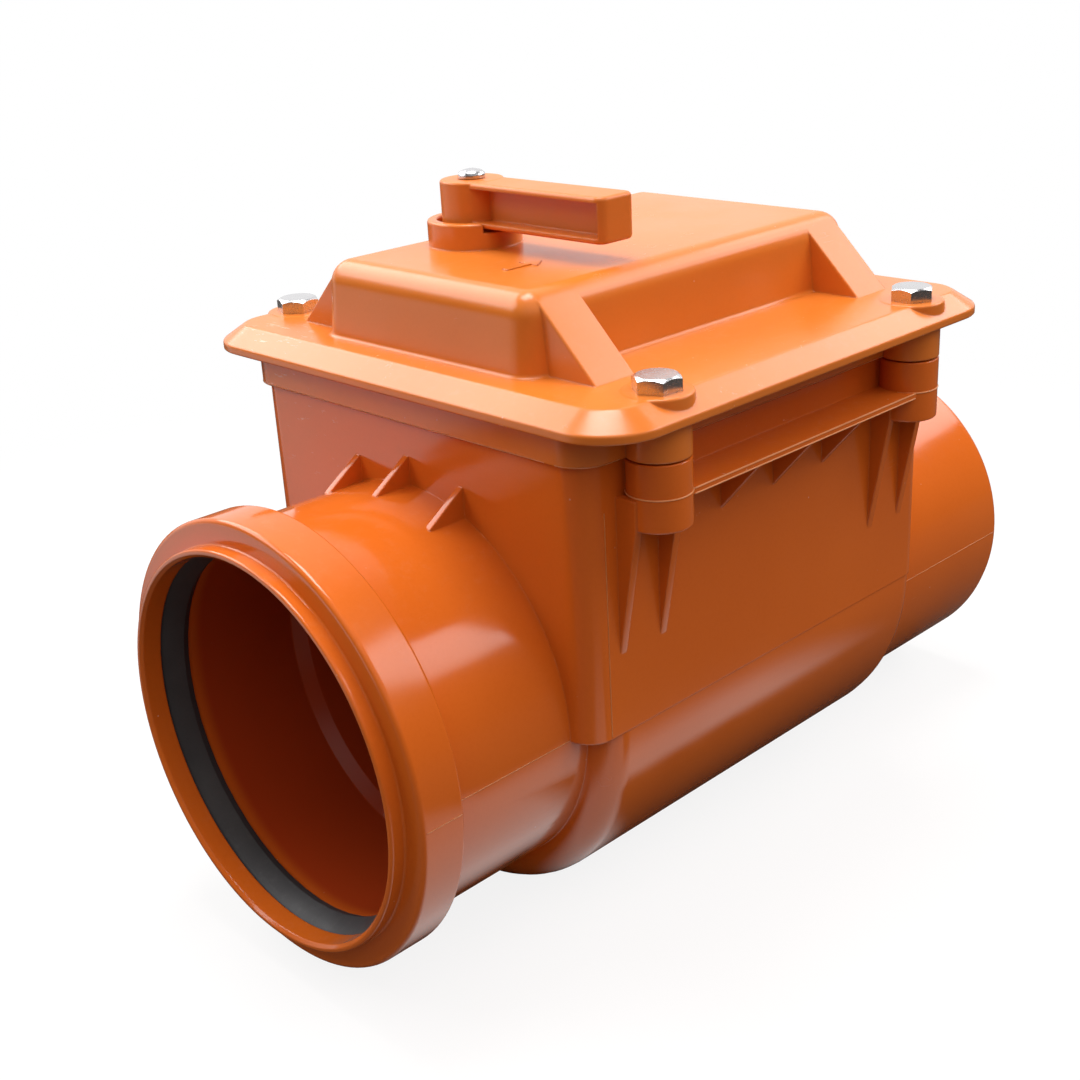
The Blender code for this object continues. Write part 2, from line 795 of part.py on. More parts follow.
def make_lid(mat):
    foot = chamber_rectangle(flange_front, flange_side, flange_corner)
    crease = chamber_rectangle(
        flange_front - flange_slope, flange_side - flange_slope, flange_corner - flange_slope
    )
    rings = [level(foot, flange_bottom), level(foot, flange_bottom + flange_edge), level(crease, plate_top)]
    lid = new_object("lid", stack(rings), mat)
    lid_outside(lid)
    lid_collar(lid)
    lid_inside(lid)


def hex_head(radius, low, high, turn):
    return rod("Z", (0, 0, 0), radius, low, high, 6, turn)


def make_bolt(number, place, steel):
    bolt = new_object(f"lid_bolt_{number}", hex_head(hex_radius, 0, bolt_head_height, number), steel)
    bolt.location = (*place, head_bottom)
    chamfer = thin_step + land_height / 2
    combine(bolt, lathe([
        (-land_height, 0), (-land_height, 2 * hex_radius), (bolt_head_height - chamfer, hex_radius),
        (bolt_head_height, hex_radius - chamfer), (bolt_head_height, 0),
    ], "Z"), "INTERSECT")
    radius = bolt_diameter / 2
    add(bolt, lathe([
        (-bolt_length, 0), (-bolt_length, radius - thin_step), (-bolt_length + land_height, radius),
        (land_height, radius), (land_height, 0),
    ], "Z"))


def make_nut(number, place, steel):
    nut = new_object(f"lid_nut_{number}", hex_head(hex_radius - seat_gap, 0, nut_height, math.pi / 6), steel)
    nut.location = (*place, boss_bottom + seat_gap)
    bore = bolt_diameter / 2 + seat_gap
    cut(nut, rod("Z", (0, 0, 0), bore, -wall, nut_height + wall))


def make_lever(mat, axis):
    lever = new_object("lever", rod("Z", (0, 0, 0), hub_radius, hub_lift, hub_top, large_steps), mat, axis)
    half = lever_width / 2
    flat_top = hub_top - hair
    plan = arc(half - lever_corner, lever_corner - lever_length, lever_corner, 270, 360, corner_steps)
    plan += [(half, 0), (-half, 0)]
    plan += arc(lever_corner - half, lever_corner - lever_length, lever_corner, 180, 270, corner_steps)
    add(lever, softened(prism(plan, "Z", arm_bottom, flat_top), lever_round))
    low = arm_bottom + lever_lip
    high = flat_top - lever_lip
    inner = math.sqrt(hub_radius**2 - half**2)
    near = lever_web / 2
    far = half + wall

    def recess(side):
        outline = arc(0, 0, hub_radius, 270, 270 + math.degrees(math.acos(inner / hub_radius)), corner_steps)
        outline = [(a, b) for a, b in outline if a > near]
        outline = [(near, -math.sqrt(hub_radius**2 - near**2))] + outline + [(far, -inner)]
        outline += [(far, lever_end_block - lever_length), (near, lever_end_block - lever_length)]
        return prism([(side * a, b) for a, b in outline], "Z", low, high)

    cut(lever, *both_sides(recess))
    cut(lever, rod("Z", (0, 0, 0), screw_diameter / 2 + seat_gap, square_top - wall, hub_top + wall))
    hole = square_side / 2 + square_clearance
    cut(lever, prism(rectangle(-hole, hole, -hole, hole), "Z", hub_lift - wall, square_top + seat_gap))


def make_lever_screw(steel, axis):
    radius = screw_diameter / 2
    dome = arc(0, 0, 1, 0, 90, corner_steps)
    tip = square_top - thread_hole_depth + land_height
    edge = screw_seat + screw_head_edge
    rise = screw_head_height - screw_head_edge
    profile = [(tip, 0), (tip, radius), (screw_seat, radius), (screw_seat, screw_head_radius)]
    profile += [(edge + rise * height, screw_head_radius * across) for across, height in dome]
    new_object("lever_screw", lathe(profile, "Z"), steel, axis)


def square_bar(low, high):
    half = square_side / 2
    return prism(rectangle(-half, half, -half, half), "Z", low, high)


def make_spindle(steel, axis):
    groove_low = -oring_depth - oring_section / 2 - groove_clearance
    groove_high = -oring_depth + oring_section / 2 + groove_clearance
    groove = shaft_radius - oring_section
    flange_bottom_level = flange_top - spindle_flange_height
    low = cam_top + seat_gap
    high = hub_lift - seat_gap
    profile = [
        (low, 0), (low, shaft_radius), (flange_bottom_level, shaft_radius),
        (flange_bottom_level, spindle_flange_radius), (flange_top, spindle_flange_radius),
        (flange_top, shaft_radius), (groove_low, shaft_radius), (groove_low, groove), (groove_high, groove),
        (groove_high, shaft_radius), (high, shaft_radius), (high, 0),
    ]
    spindle = new_object("spindle", lathe(profile, "Z"), steel, axis)
    add(spindle, square_bar(0, square_top))
    add(spindle, square_bar(cam_bottom + seat_gap, cam_top + wall))
    bore = screw_diameter / 2 + seat_gap
    cut(spindle, rod("Z", (0, 0, 0), bore, square_top - thread_hole_depth, square_top + wall))
    cut(spindle, rod("Z", (0, 0, 0), bore, cam_bottom - wall, cam_bottom + thread_hole_depth))


def make_oring(mat, axis):
    middle = shaft_radius + shaft_clearance - seat_gap / 2 - oring_section / 2
    section = arc(-oring_depth, middle, oring_section / 2, 0, 360, 2 * corner_steps)[:-1]
    new_object("spindle_oring", lathe(section, "Z"), mat, axis)


def make_cam(mat, axis):
    cam = new_object("lock_cam", rod("Z", (0, 0, 0), cam_hub_radius, cam_bottom, cam_top), mat, axis)
    half = cam_lobe_width / 2
    outline = [(half, 0)] + arc(0, cam_lobe_length - half, half, 0, 180, 2 * corner_steps) + [(-half, 0)]
    add(cam, prism(outline, "Z", cam_bottom + thin_step / 2, cam_top - thin_step / 2))
    hole = square_side / 2 + square_clearance
    cut(cam, prism(rectangle(-hole, hole, -hole, hole), "Z", cam_bottom - wall, cam_top + wall))


def make_cam_fixing(steel, axis):
    bore = screw_diameter / 2 + seat_gap
    low = cam_bottom - seat_gap - washer_thickness
    washer = ring("Z", (0, 0, 0), bore, washer_radius, low, low + washer_thickness)
    new_object("cam_washer", washer, steel, axis)
    seat = low - seat_gap
    radius = screw_diameter / 2
    head = seat - screw_head_height
    tip = cam_bottom + thread_hole_depth - land_height
    head_radius = screw_head_radius
    profile = [(head, 0), (head, head_radius), (seat, head_radius), (seat, radius), (tip, radius), (tip, 0)]
    new_object("cam_screw", lathe(profile, "Z"), steel, axis)


def main():
    clear_scene()
    orange = make_material("orange_plastic", (0.62, 0.13, 0.022), 0.28)
    black = make_material("black_rubber", (0.012, 0.012, 0.013), 0.6)
    zinc = make_material("zinc_steel", (0.66, 0.66, 0.67), 0.25, 1.0)
    stainless = make_material("stainless_steel", (0.55, 0.55, 0.56), 0.3, 1.0)
    grey = make_material("grey_plastic", (0.10, 0.10, 0.11), 0.4)
    make_body(orange)
    make_socket_seal(black)
    make_frame(grey)
    make_frame_gasket(black)
    make_hinge_pin(stainless)
    flap_axis = new_axis("flap_axis", hinge)
    make_flap(orange, flap_axis)
    make_flap_seal(black, flap_axis)
    make_lid(orange)
    make_lid_gasket(black)
    for number, place in enumerate(bolt_places, 1):
        make_bolt(number, place, zinc)
        make_nut(number, place, zinc)
    lever_axis = new_axis("lever_axis", shaft)
    make_lever(orange, lever_axis)
    make_lever_screw(zinc, lever_axis)
    make_spindle(stainless, lever_axis)
    make_oring(black, lever_axis)
    make_cam(grey, lever_axis)
    make_cam_fixing(stainless, lever_axis)


main()
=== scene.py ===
import math

import bmesh
import bpy
from mathutils import Matrix, Vector


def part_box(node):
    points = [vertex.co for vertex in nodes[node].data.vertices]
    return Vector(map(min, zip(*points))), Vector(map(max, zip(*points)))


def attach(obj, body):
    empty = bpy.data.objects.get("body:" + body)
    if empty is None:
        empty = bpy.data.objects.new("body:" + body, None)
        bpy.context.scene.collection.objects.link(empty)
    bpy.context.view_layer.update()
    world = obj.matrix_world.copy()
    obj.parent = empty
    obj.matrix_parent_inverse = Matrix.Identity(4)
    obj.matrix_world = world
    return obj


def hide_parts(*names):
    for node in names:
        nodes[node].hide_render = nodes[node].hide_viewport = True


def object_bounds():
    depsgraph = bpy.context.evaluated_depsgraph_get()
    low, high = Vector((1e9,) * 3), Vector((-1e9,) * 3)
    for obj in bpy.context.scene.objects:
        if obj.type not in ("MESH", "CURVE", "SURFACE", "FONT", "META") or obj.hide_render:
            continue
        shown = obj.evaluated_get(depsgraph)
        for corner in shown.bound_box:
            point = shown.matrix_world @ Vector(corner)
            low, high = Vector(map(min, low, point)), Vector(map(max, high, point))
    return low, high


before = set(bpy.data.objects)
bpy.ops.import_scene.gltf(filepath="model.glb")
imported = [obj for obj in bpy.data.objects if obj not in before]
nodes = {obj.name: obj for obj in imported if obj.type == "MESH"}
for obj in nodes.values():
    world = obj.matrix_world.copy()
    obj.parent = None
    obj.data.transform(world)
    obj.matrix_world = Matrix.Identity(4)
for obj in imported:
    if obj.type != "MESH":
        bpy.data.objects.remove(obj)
cadBox = [list(corner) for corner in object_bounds()]
print("frame loaded:", len(nodes), "nodes")


# shapes in metres: +X is the flow, Z is up, the inlet mouth is centred on the origin

def axisPoint(axis, along, a, b):
    return {"X": (along, a, b), "Y": (a, along, b), "Z": (a, b, along)}[axis]


def arcPoints(centreA, centreB, radius, start, end, steps):
    turns = [math.radians(start + (end - start) * i / steps) for i in range(steps + 1)]
    return [(centreA + radius * math.cos(t), centreB + radius * math.sin(t)) for t in turns]


def boxPlan(lowA, highA, lowB, highB):
    return [(lowA, lowB), (highA, lowB), (highA, highB), (lowA, highB)]


def roundedPlan(lowA, highA, lowB, highB, radius, steps=10):
    plan = arcPoints(lowA + radius, lowB + radius, radius, 180, 270, steps)
    plan += arcPoints(highA - radius, lowB + radius, radius, 270, 360, steps)
    plan += arcPoints(highA - radius, highB - radius, radius, 0, 90, steps)
    plan += arcPoints(lowA + radius, highB - radius, radius, 90, 180, steps)
    return plan


def prismShape(plan, axis, low, high):
    shape = bmesh.new()
    face = shape.faces.new([shape.verts.new(axisPoint(axis, low, a, b)) for a, b in plan])
    grown = bmesh.ops.extrude_face_region(shape, geom=[face])["geom"]
    moved = [item for item in grown if isinstance(item, bmesh.types.BMVert)]
    bmesh.ops.translate(shape, verts=moved, vec=axisPoint(axis, high - low, 0, 0))
    bmesh.ops.recalc_face_normals(shape, faces=shape.faces)
    return shape


def ringStack(rings, closed=False):
    shape = bmesh.new()
    loops = [[shape.verts.new(point) for point in ring] for ring in rings]
    followers = loops[1:] + loops[:1] if closed else loops[1:]
    for lower, upper in zip(loops, followers):
        for i in range(len(lower)):
            j = (i + 1) % len(lower)
            shape.faces.new((lower[i], lower[j], upper[j], upper[i]))
    if not closed:
        shape.faces.new(loops[0])
        shape.faces.new(loops[-1])
    bmesh.ops.recalc_face_normals(shape, faces=shape.faces)
    return shape


def latheShape(profile, axis, centre=(0, 0, 0), steps=48, turn=0.0):
    # profile is a closed outline of (distance along the axis, radius)
    shape = bmesh.new()
    direction = Vector(axisPoint(axis, 1, 0, 0))
    outward = Vector(axisPoint({"X": "Z", "Y": "Z", "Z": "X"}[axis], 1, 0, 0))
    outward.rotate(Matrix.Rotation(turn, 3, direction))
    sideways = direction.cross(outward)
    middle = Vector(centre)
    turns = [math.tau * i / steps for i in range(steps)]
    spokes = [outward * math.cos(t) + sideways * math.sin(t) for t in turns]
    loops = []
    for along, radius in profile:
        foot = middle + direction * along
        if radius < 1e-7:
            loops.append([shape.verts.new(foot)])
        else:
            loops.append([shape.verts.new(foot + spoke * radius) for spoke in spokes])
    for first, second in zip(loops, loops[1:] + loops[:1]):
        for i in range(steps):
            j = (i + 1) % steps
            if len(first) == 1 and len(second) == 1:
                break
            if len(first) == 1:
                shape.faces.new((first[0], second[j], second[i]))
            elif len(second) == 1:
                shape.faces.new((first[i], first[j], second[0]))
            else:
                shape.faces.new((first[i], first[j], second[j], second[i]))
    bmesh.ops.recalc_face_normals(shape, faces=shape.faces)
    return shape


def rodShape(axis, centre, radius, low, high, steps=48, edge=0.0, turn=0.0):
    profile = [(low, 0), (low, radius - edge), (low + edge, radius), (high - edge, radius), (high, radius - edge), (high, 0)]
    if edge == 0:
        profile = [(low, 0), (low, radius), (high, radius), (high, 0)]
    return latheShape(profile, axis, centre, steps, turn)


def softEdges(shape, radius, segments=2, limit=30):
    sharp = [edge for edge in shape.edges if edge.calc_face_angle(0) > math.radians(limit)]
    bmesh.ops.bevel(shape, geom=sharp, offset=radius, segments=segments, profile=0.5, affect="EDGES", clamp_overlap=True)
    return shape


def gatherShapes(shapes):
    whole = bmesh.new()
    for shape in shapes:
        mesh = bpy.data.meshes.new("loose")
        shape.to_mesh(mesh)
        shape.free()
        whole.from_mesh(mesh)
        bpy.data.meshes.remove(mesh)
    return whole


def newPiece(name, shape):
    mesh = bpy.data.meshes.new(name)
    shape.to_mesh(mesh)
    shape.free()
    piece = bpy.data.objects.new(name, mesh)
    bpy.context.scene.collection.objects.link(piece)
    return piece


def applyModifiers(piece):
    view = bpy.context.evaluated_depsgraph_get()
    solid = bpy.data.meshes.new_from_object(piece.evaluated_get(view))
    old = piece.data
    piece.modifiers.clear()
    piece.data = solid
    solid.name = piece.name
    bpy.data.meshes.remove(old)


def carve(piece, steps):
    # steps are pairs of UNION or DIFFERENCE and the shapes that it uses
    tools = []
    for operation, shapes in steps:
        tool = newPiece(piece.name + "Tool", gatherShapes(shapes))
        step = piece.modifiers.new(operation, "BOOLEAN")
        step.operation = operation
        step.solver = "EXACT"
        step.object = tool
        tools.append(tool)
    applyModifiers(piece)
    for tool in tools:
        mesh = tool.data
        bpy.data.objects.remove(tool)
        bpy.data.meshes.remove(mesh)


def finishPiece(piece, body, material, replaced=(), sharp=38, weighted=True):
    mesh = piece.data
    mesh.materials.clear()
    mesh.materials.append(material)
    mesh.shade_smooth()
    mesh.set_sharp_from_angle(angle=math.radians(sharp))
    if weighted:
        even = piece.modifiers.new("evenNormals", "WEIGHTED_NORMAL")
        even.keep_sharp = True
        even.weight = 80
        applyModifiers(piece)
    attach(piece, body)
    if replaced:
        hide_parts(*replaced)
    return piece


def copyNode(node, name):
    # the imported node's own shape, merged so that its round faces can be shaded smooth
    shape = bmesh.new()
    shape.from_mesh(nodes[node].data)
    bmesh.ops.remove_doubles(shape, verts=shape.verts, dist=2e-6)
    bmesh.ops.dissolve_limit(shape, angle_limit=math.radians(0.15), verts=shape.verts, edges=shape.edges)
    return newPiece(name, shape)


# geometry node tools

def startShapeTree(name, inputs):
    # inputs are (name, kind, value) beside the piece's own mesh
    tree = bpy.data.node_groups.new(name, "GeometryNodeTree")
    kinds = {"value": "NodeSocketFloat", "count": "NodeSocketInt", "place": "NodeSocketVector"}
    tree.interface.new_socket("Geometry", in_out="INPUT", socket_type="NodeSocketGeometry")
    for label, kind, start in inputs:
        tree.interface.new_socket(label, in_out="INPUT", socket_type=kinds[kind]).default_value = start
    tree.interface.new_socket("Geometry", in_out="OUTPUT", socket_type="NodeSocketGeometry")
    return tree, tree.nodes.new("NodeGroupInput").outputs, tree.nodes.new("NodeGroupOutput").inputs


def shapeNode(tree, kind, inputs=(), **settings):
    # inputs are (socket name or number, value or output)
    made = tree.nodes.new(kind)
    for key, value in settings.items():
        setattr(made, key, value)
    for socket, value in inputs:
        feed(tree, made.inputs[socket], value)
    return made


def endShapeTree(tree, geometry, material, result):
    whole = shapeNode(tree, "GeometryNodeRealizeInstances", [("Geometry", geometry)])
    painted = shapeNode(tree, "GeometryNodeSetMaterial", [("Geometry", whole.outputs[0]), ("Material", material)])
    tree.links.new(painted.outputs[0], result["Geometry"])
    return tree


def growPiece(piece, tree, values):
    # values go to the tree's inputs by name, through their identifiers
    step = piece.modifiers.new(tree.name, "NODES")
    step.node_group = tree
    for item in tree.interface.items_tree:
        if item.in_out == "INPUT" and item.name in values:
            step[item.identifier] = values[item.name]
    applyModifiers(piece)
    return piece


# shader tools

def addNode(tree, kind, **settings):
    made = tree.nodes.new("ShaderNode" + kind)
    for key, value in settings.items():
        setattr(made, key, value)
    return made


def feed(tree, target, value):
    if isinstance(value, bpy.types.NodeSocket):
        tree.links.new(value, target)
    else:
        target.default_value = value


def mathOf(tree, operation, *values, clamp=False):
    made = addNode(tree, "Math", operation=operation, use_clamp=clamp)
    for socket, value in zip(made.inputs, values):
        feed(tree, socket, value)
    return made.outputs[0]


def spread(tree, value, low, high, toLow=0.0, toHigh=1.0, smooth=True):
    made = addNode(tree, "MapRange", interpolation_type="SMOOTHSTEP" if smooth else "LINEAR")
    feed(tree, made.inputs["Value"], value)
    feed(tree, made.inputs["From Min"], low)
    feed(tree, made.inputs["From Max"], high)
    feed(tree, made.inputs["To Min"], toLow)
    feed(tree, made.inputs["To Max"], toHigh)
    return made.outputs["Result"]


def noiseOf(tree, vector, scale, detail=3.0, rough=0.5, distortion=0.0):
    made = addNode(tree, "TexNoise")
    tree.links.new(vector, made.inputs["Vector"])
    feed(tree, made.inputs["Scale"], scale)
    made.inputs["Detail"].default_value = detail
    made.inputs["Roughness"].default_value = rough
    made.inputs["Distortion"].default_value = distortion
    return made.outputs["Fac"]


def mixColour(tree, factor, a, b, blend="MIX"):
    made = addNode(tree, "Mix", data_type="RGBA", blend_type=blend)
    feed(tree, made.inputs["Factor"], factor)
    colours = [socket for socket in made.inputs if socket.type == "RGBA"]
    feed(tree, colours[0], a)
    feed(tree, colours[1], b)
    return [socket for socket in made.outputs if socket.type == "RGBA"][0]


def stretched(tree, vector, scale, turn=(0, 0, 0)):
    made = addNode(tree, "Mapping")
    tree.links.new(vector, made.inputs["Vector"])
    made.inputs["Scale"].default_value = scale
    made.inputs["Rotation"].default_value = turn
    return made.outputs["Vector"]


def newGroup(name, inputs, outputs):
    tree = bpy.data.node_groups.new(name, "ShaderNodeTree")
    kinds = {"value": "NodeSocketFloat", "colour": "NodeSocketColor", "vector": "NodeSocketVector"}
    for label, kind, start in inputs:
        socket = tree.interface.new_socket(label, in_out="INPUT", socket_type=kinds[kind])
        socket.default_value = start
    for label, kind in outputs:
        tree.interface.new_socket(label, in_out="OUTPUT", socket_type=kinds[kind])
    return tree, tree.nodes.new("NodeGroupInput").outputs, tree.nodes.new("NodeGroupOutput").inputs


def useGroup(tree, group, **values):
    # a value's name is the socket's name in camelCase
    made = tree.nodes.new("ShaderNodeGroup")
    made.node_tree = group
    for socket in made.inputs:
        words = socket.name.split()
        key = words[0].lower() + "".join(word.capitalize() for word in words[1:])
        if key in values:
            feed(tree, socket, values[key])
    return made.outputs


def buildToneDrift():
    # slow and fine changes of colour through a moulded part
    tree, given, result = newGroup("toneDrift", [
        ("Colour", "colour", (0.6, 0.1, 0.02, 1)), ("Deep Colour", "colour", (0.5, 0.08, 0.015, 1)),
        ("Slow Scale", "value", 14.0), ("Fine Scale", "value", 900.0), ("Amount", "value", 0.5),
    ], [("Colour", "colour")])
    place = addNode(tree, "TexCoord").outputs["Object"]
    slow = spread(tree, noiseOf(tree, place, given["Slow Scale"], 2.0), 0.35, 0.68)
    fine = spread(tree, noiseOf(tree, place, given["Fine Scale"], 1.0), 0.45, 0.75)
    share = mathOf(tree, "MULTIPLY", mathOf(tree, "ADD", slow, mathOf(tree, "MULTIPLY", fine, 0.25)), given["Amount"], clamp=True)
    tree.links.new(mixColour(tree, share, given["Colour"], given["Deep Colour"]), result["Colour"])
    return tree


def buildEdgeWear():
    # patches along edges, found from how far a rounded normal leans off the face
    tree, given, result = newGroup("edgeWear", [
        ("Reach", "value", 0.0006), ("Patch Scale", "value", 90.0), ("Amount", "value", 0.5),
        ("Coverage", "value", 0.5),
    ], [("Mask", "value")])
    place = addNode(tree, "TexCoord").outputs["Object"]
    rounded = addNode(tree, "Bevel", samples=6)
    tree.links.new(given["Reach"], rounded.inputs["Radius"])
    flat = addNode(tree, "NewGeometry")
    lean = addNode(tree, "VectorMath", operation="DOT_PRODUCT")
    tree.links.new(rounded.outputs["Normal"], lean.inputs[0])
    tree.links.new(flat.outputs["True Normal"], lean.inputs[1])
    edge = spread(tree, mathOf(tree, "SUBTRACT", 1.0, lean.outputs["Value"]), 0.02, 0.16)
    patch = noiseOf(tree, place, given["Patch Scale"], 5.0, 0.62)
    start = mathOf(tree, "SUBTRACT", 0.78, mathOf(tree, "MULTIPLY", given["Coverage"], 0.4))
    shown = spread(tree, patch, start, mathOf(tree, "ADD", start, 0.12))
    mask = mathOf(tree, "MULTIPLY", mathOf(tree, "MULTIPLY", edge, shown), given["Amount"], clamp=True)
    tree.links.new(mask, result["Mask"])
    return tree


def buildHandlingMarks():
    # sparse hairline scratches in two directions, and specks
    tree, given, result = newGroup("handlingMarks", [
        ("Scratch Scale", "value", 60.0), ("Density", "value", 0.5), ("Speck Scale", "value", 420.0),
        ("Speck Density", "value", 0.4),
    ], [("Scratches", "value"), ("Specks", "value")])
    place = addNode(tree, "TexCoord").outputs["Object"]
    lines = []
    for turn in ((0.3, 0.5, 0.9), (1.1, -0.4, 2.3)):
        along = stretched(tree, place, (0.10, 1.9, 1.9), turn)
        thread = noiseOf(tree, along, mathOf(tree, "MULTIPLY", given["Scratch Scale"], 5.0), 1.0, 0.4, 0.25)
        gap = mathOf(tree, "ABSOLUTE", mathOf(tree, "SUBTRACT", thread, 0.5))
        hair = spread(tree, gap, 0.0, 0.006, 1.0, 0.0)
        where = noiseOf(tree, stretched(tree, place, (1, 1, 1), turn), given["Scratch Scale"], 3.0, 0.6)
        start = mathOf(tree, "SUBTRACT", 0.80, mathOf(tree, "MULTIPLY", given["Density"], 0.25))
        lines.append(mathOf(tree, "MULTIPLY", hair, spread(tree, where, start, mathOf(tree, "ADD", start, 0.07))))
    tree.links.new(mathOf(tree, "MAXIMUM", *lines), result["Scratches"])
    cells = addNode(tree, "TexVoronoi", feature="F1")
    tree.links.new(place, cells.inputs["Vector"])
    tree.links.new(given["Speck Scale"], cells.inputs["Scale"])
    dot = spread(tree, cells.outputs["Distance"], 0.06, 0.13, 1.0, 0.0)
    tint = addNode(tree, "SeparateColor")
    tree.links.new(cells.outputs["Color"], tint.inputs["Color"])
    rare = spread(tree, tint.outputs["Red"], mathOf(tree, "SUBTRACT", 1.0, mathOf(tree, "MULTIPLY", given["Speck Density"], 0.1)), 1.0, 0.0, 1.0)
    tree.links.new(mathOf(tree, "MULTIPLY", dot, rare, clamp=True), result["Specks"])
    return tree


def buildMouldGrain():
    # the skin of a moulding: soft waves, fine peel and faint flow lines
    tree, given, result = newGroup("mouldGrain", [
        ("Wave Scale", "value", 55.0), ("Peel Scale", "value", 700.0), ("Peel Share", "value", 0.3),
        ("Flow Share", "value", 0.2),
    ], [("Height", "value"), ("Sheen Patches", "value")])
    place = addNode(tree, "TexCoord").outputs["Object"]
    wave = noiseOf(tree, place, given["Wave Scale"], 2.0, 0.45)
    peel = noiseOf(tree, place, given["Peel Scale"], 2.0, 0.5)
    flow = noiseOf(tree, stretched(tree, place, (0.25, 1.6, 1.0)), 120.0, 3.0, 0.6, 0.4)
    height = mathOf(tree, "ADD", wave, mathOf(tree, "MULTIPLY", peel, given["Peel Share"]))
    height = mathOf(tree, "ADD", height, mathOf(tree, "MULTIPLY", flow, given["Flow Share"]))
    tree.links.new(height, result["Height"])
    patches = mathOf(tree, "ADD", mathOf(tree, "MULTIPLY", flow, given["Flow Share"]), noiseOf(tree, place, 24.0, 4.0, 0.55))
    tree.links.new(spread(tree, patches, 0.35, 0.65), result["Sheen Patches"])
    return tree


def buildDustFilm():
    # fine dust that lies on faces turned up
    tree, given, result = newGroup("dustFilm", [
        ("Scale", "value", 160.0), ("Amount", "value", 0.2),
    ], [("Mask", "value")])
    place = addNode(tree, "TexCoord").outputs["Object"]
    facing = addNode(tree, "SeparateXYZ")
    tree.links.new(addNode(tree, "NewGeometry").outputs["Normal"], facing.inputs[0])
    up = spread(tree, facing.outputs["Z"], 0.35, 0.95)
    grains = spread(tree, noiseOf(tree, place, given["Scale"], 8.0, 0.75), 0.5, 0.75)
    tree.links.new(mathOf(tree, "MULTIPLY", mathOf(tree, "MULTIPLY", up, grains), given["Amount"], clamp=True), result["Mask"])
    return tree


def buildScuffPatch():
    # short pale strokes and specks that gather round one place
    tree, given, result = newGroup("scuffPatch", [
        ("Middle", "vector", (0, 0, 0)), ("Reach", "value", 0.03), ("Scale", "value", 300.0), ("Density", "value", 0.5),
    ], [("Mask", "value")])
    place = addNode(tree, "TexCoord").outputs["Object"]
    far = addNode(tree, "VectorMath", operation="DISTANCE")
    tree.links.new(place, far.inputs[0])
    tree.links.new(given["Middle"], far.inputs[1])
    near = spread(tree, far.outputs["Value"], mathOf(tree, "MULTIPLY", given["Reach"], 0.3), given["Reach"], 1.0, 0.0)
    start = mathOf(tree, "SUBTRACT", 0.82, mathOf(tree, "MULTIPLY", given["Density"], 0.25))
    strokes = []
    for turn in ((0.2, 0.0, 0.1), (0.9, 0.5, 1.3)):
        streak = noiseOf(tree, stretched(tree, place, (1.0, 0.22, 1.0), turn), given["Scale"], 6.0, 0.7)
        strokes.append(spread(tree, streak, start, mathOf(tree, "ADD", start, 0.05)))
    tree.links.new(mathOf(tree, "MULTIPLY", near, mathOf(tree, "MAXIMUM", *strokes), clamp=True), result["Mask"])
    return tree


groups = {
    "scuffPatch": buildScuffPatch(),
    "toneDrift": buildToneDrift(),
    "edgeWear": buildEdgeWear(),
    "handlingMarks": buildHandlingMarks(),
    "mouldGrain": buildMouldGrain(),
    "dustFilm": buildDustFilm(),
}


def startMaterial(name, roughness, metallic=0.0, index=1.5):
    material = bpy.data.materials.new(name)
    material.use_nodes = True
    tree = material.node_tree
    shader = tree.nodes["Principled BSDF"]
    shader.inputs["Roughness"].default_value = roughness
    shader.inputs["Metallic"].default_value = metallic
    shader.inputs["IOR"].default_value = index
    return material, tree, shader.inputs


def roundNormal(tree, radius, height, depth, strength=1.0):
    # small edge radii in the shading, under the relief of the skin
    soft = addNode(tree, "Bevel", samples=6)
    soft.inputs["Radius"].default_value = radius
    relief = addNode(tree, "Bump")
    relief.inputs["Strength"].default_value = strength
    relief.inputs["Distance"].default_value = depth
    tree.links.new(height, relief.inputs["Height"])
    tree.links.new(soft.outputs["Normal"], relief.inputs["Normal"])
    return relief.outputs["Normal"]


glossPlastic = {
    "colour": (0.68, 0.146, 0.016),
    "deepColour": (0.60, 0.118, 0.011),
    "wornColour": (0.80, 0.33, 0.14),
    "dustColour": (0.75, 0.52, 0.38),
    "scuffColour": (0.86, 0.62, 0.46),
    # painted shade for the inside of the socket bore
    "boreColour": (0.38, 0.046, 0.009),
    "roughness": 0.12,
    "edgeRadius": 0.0007,
    "skinDepth": 0.00005,
    "flowShare": 0.08,
}


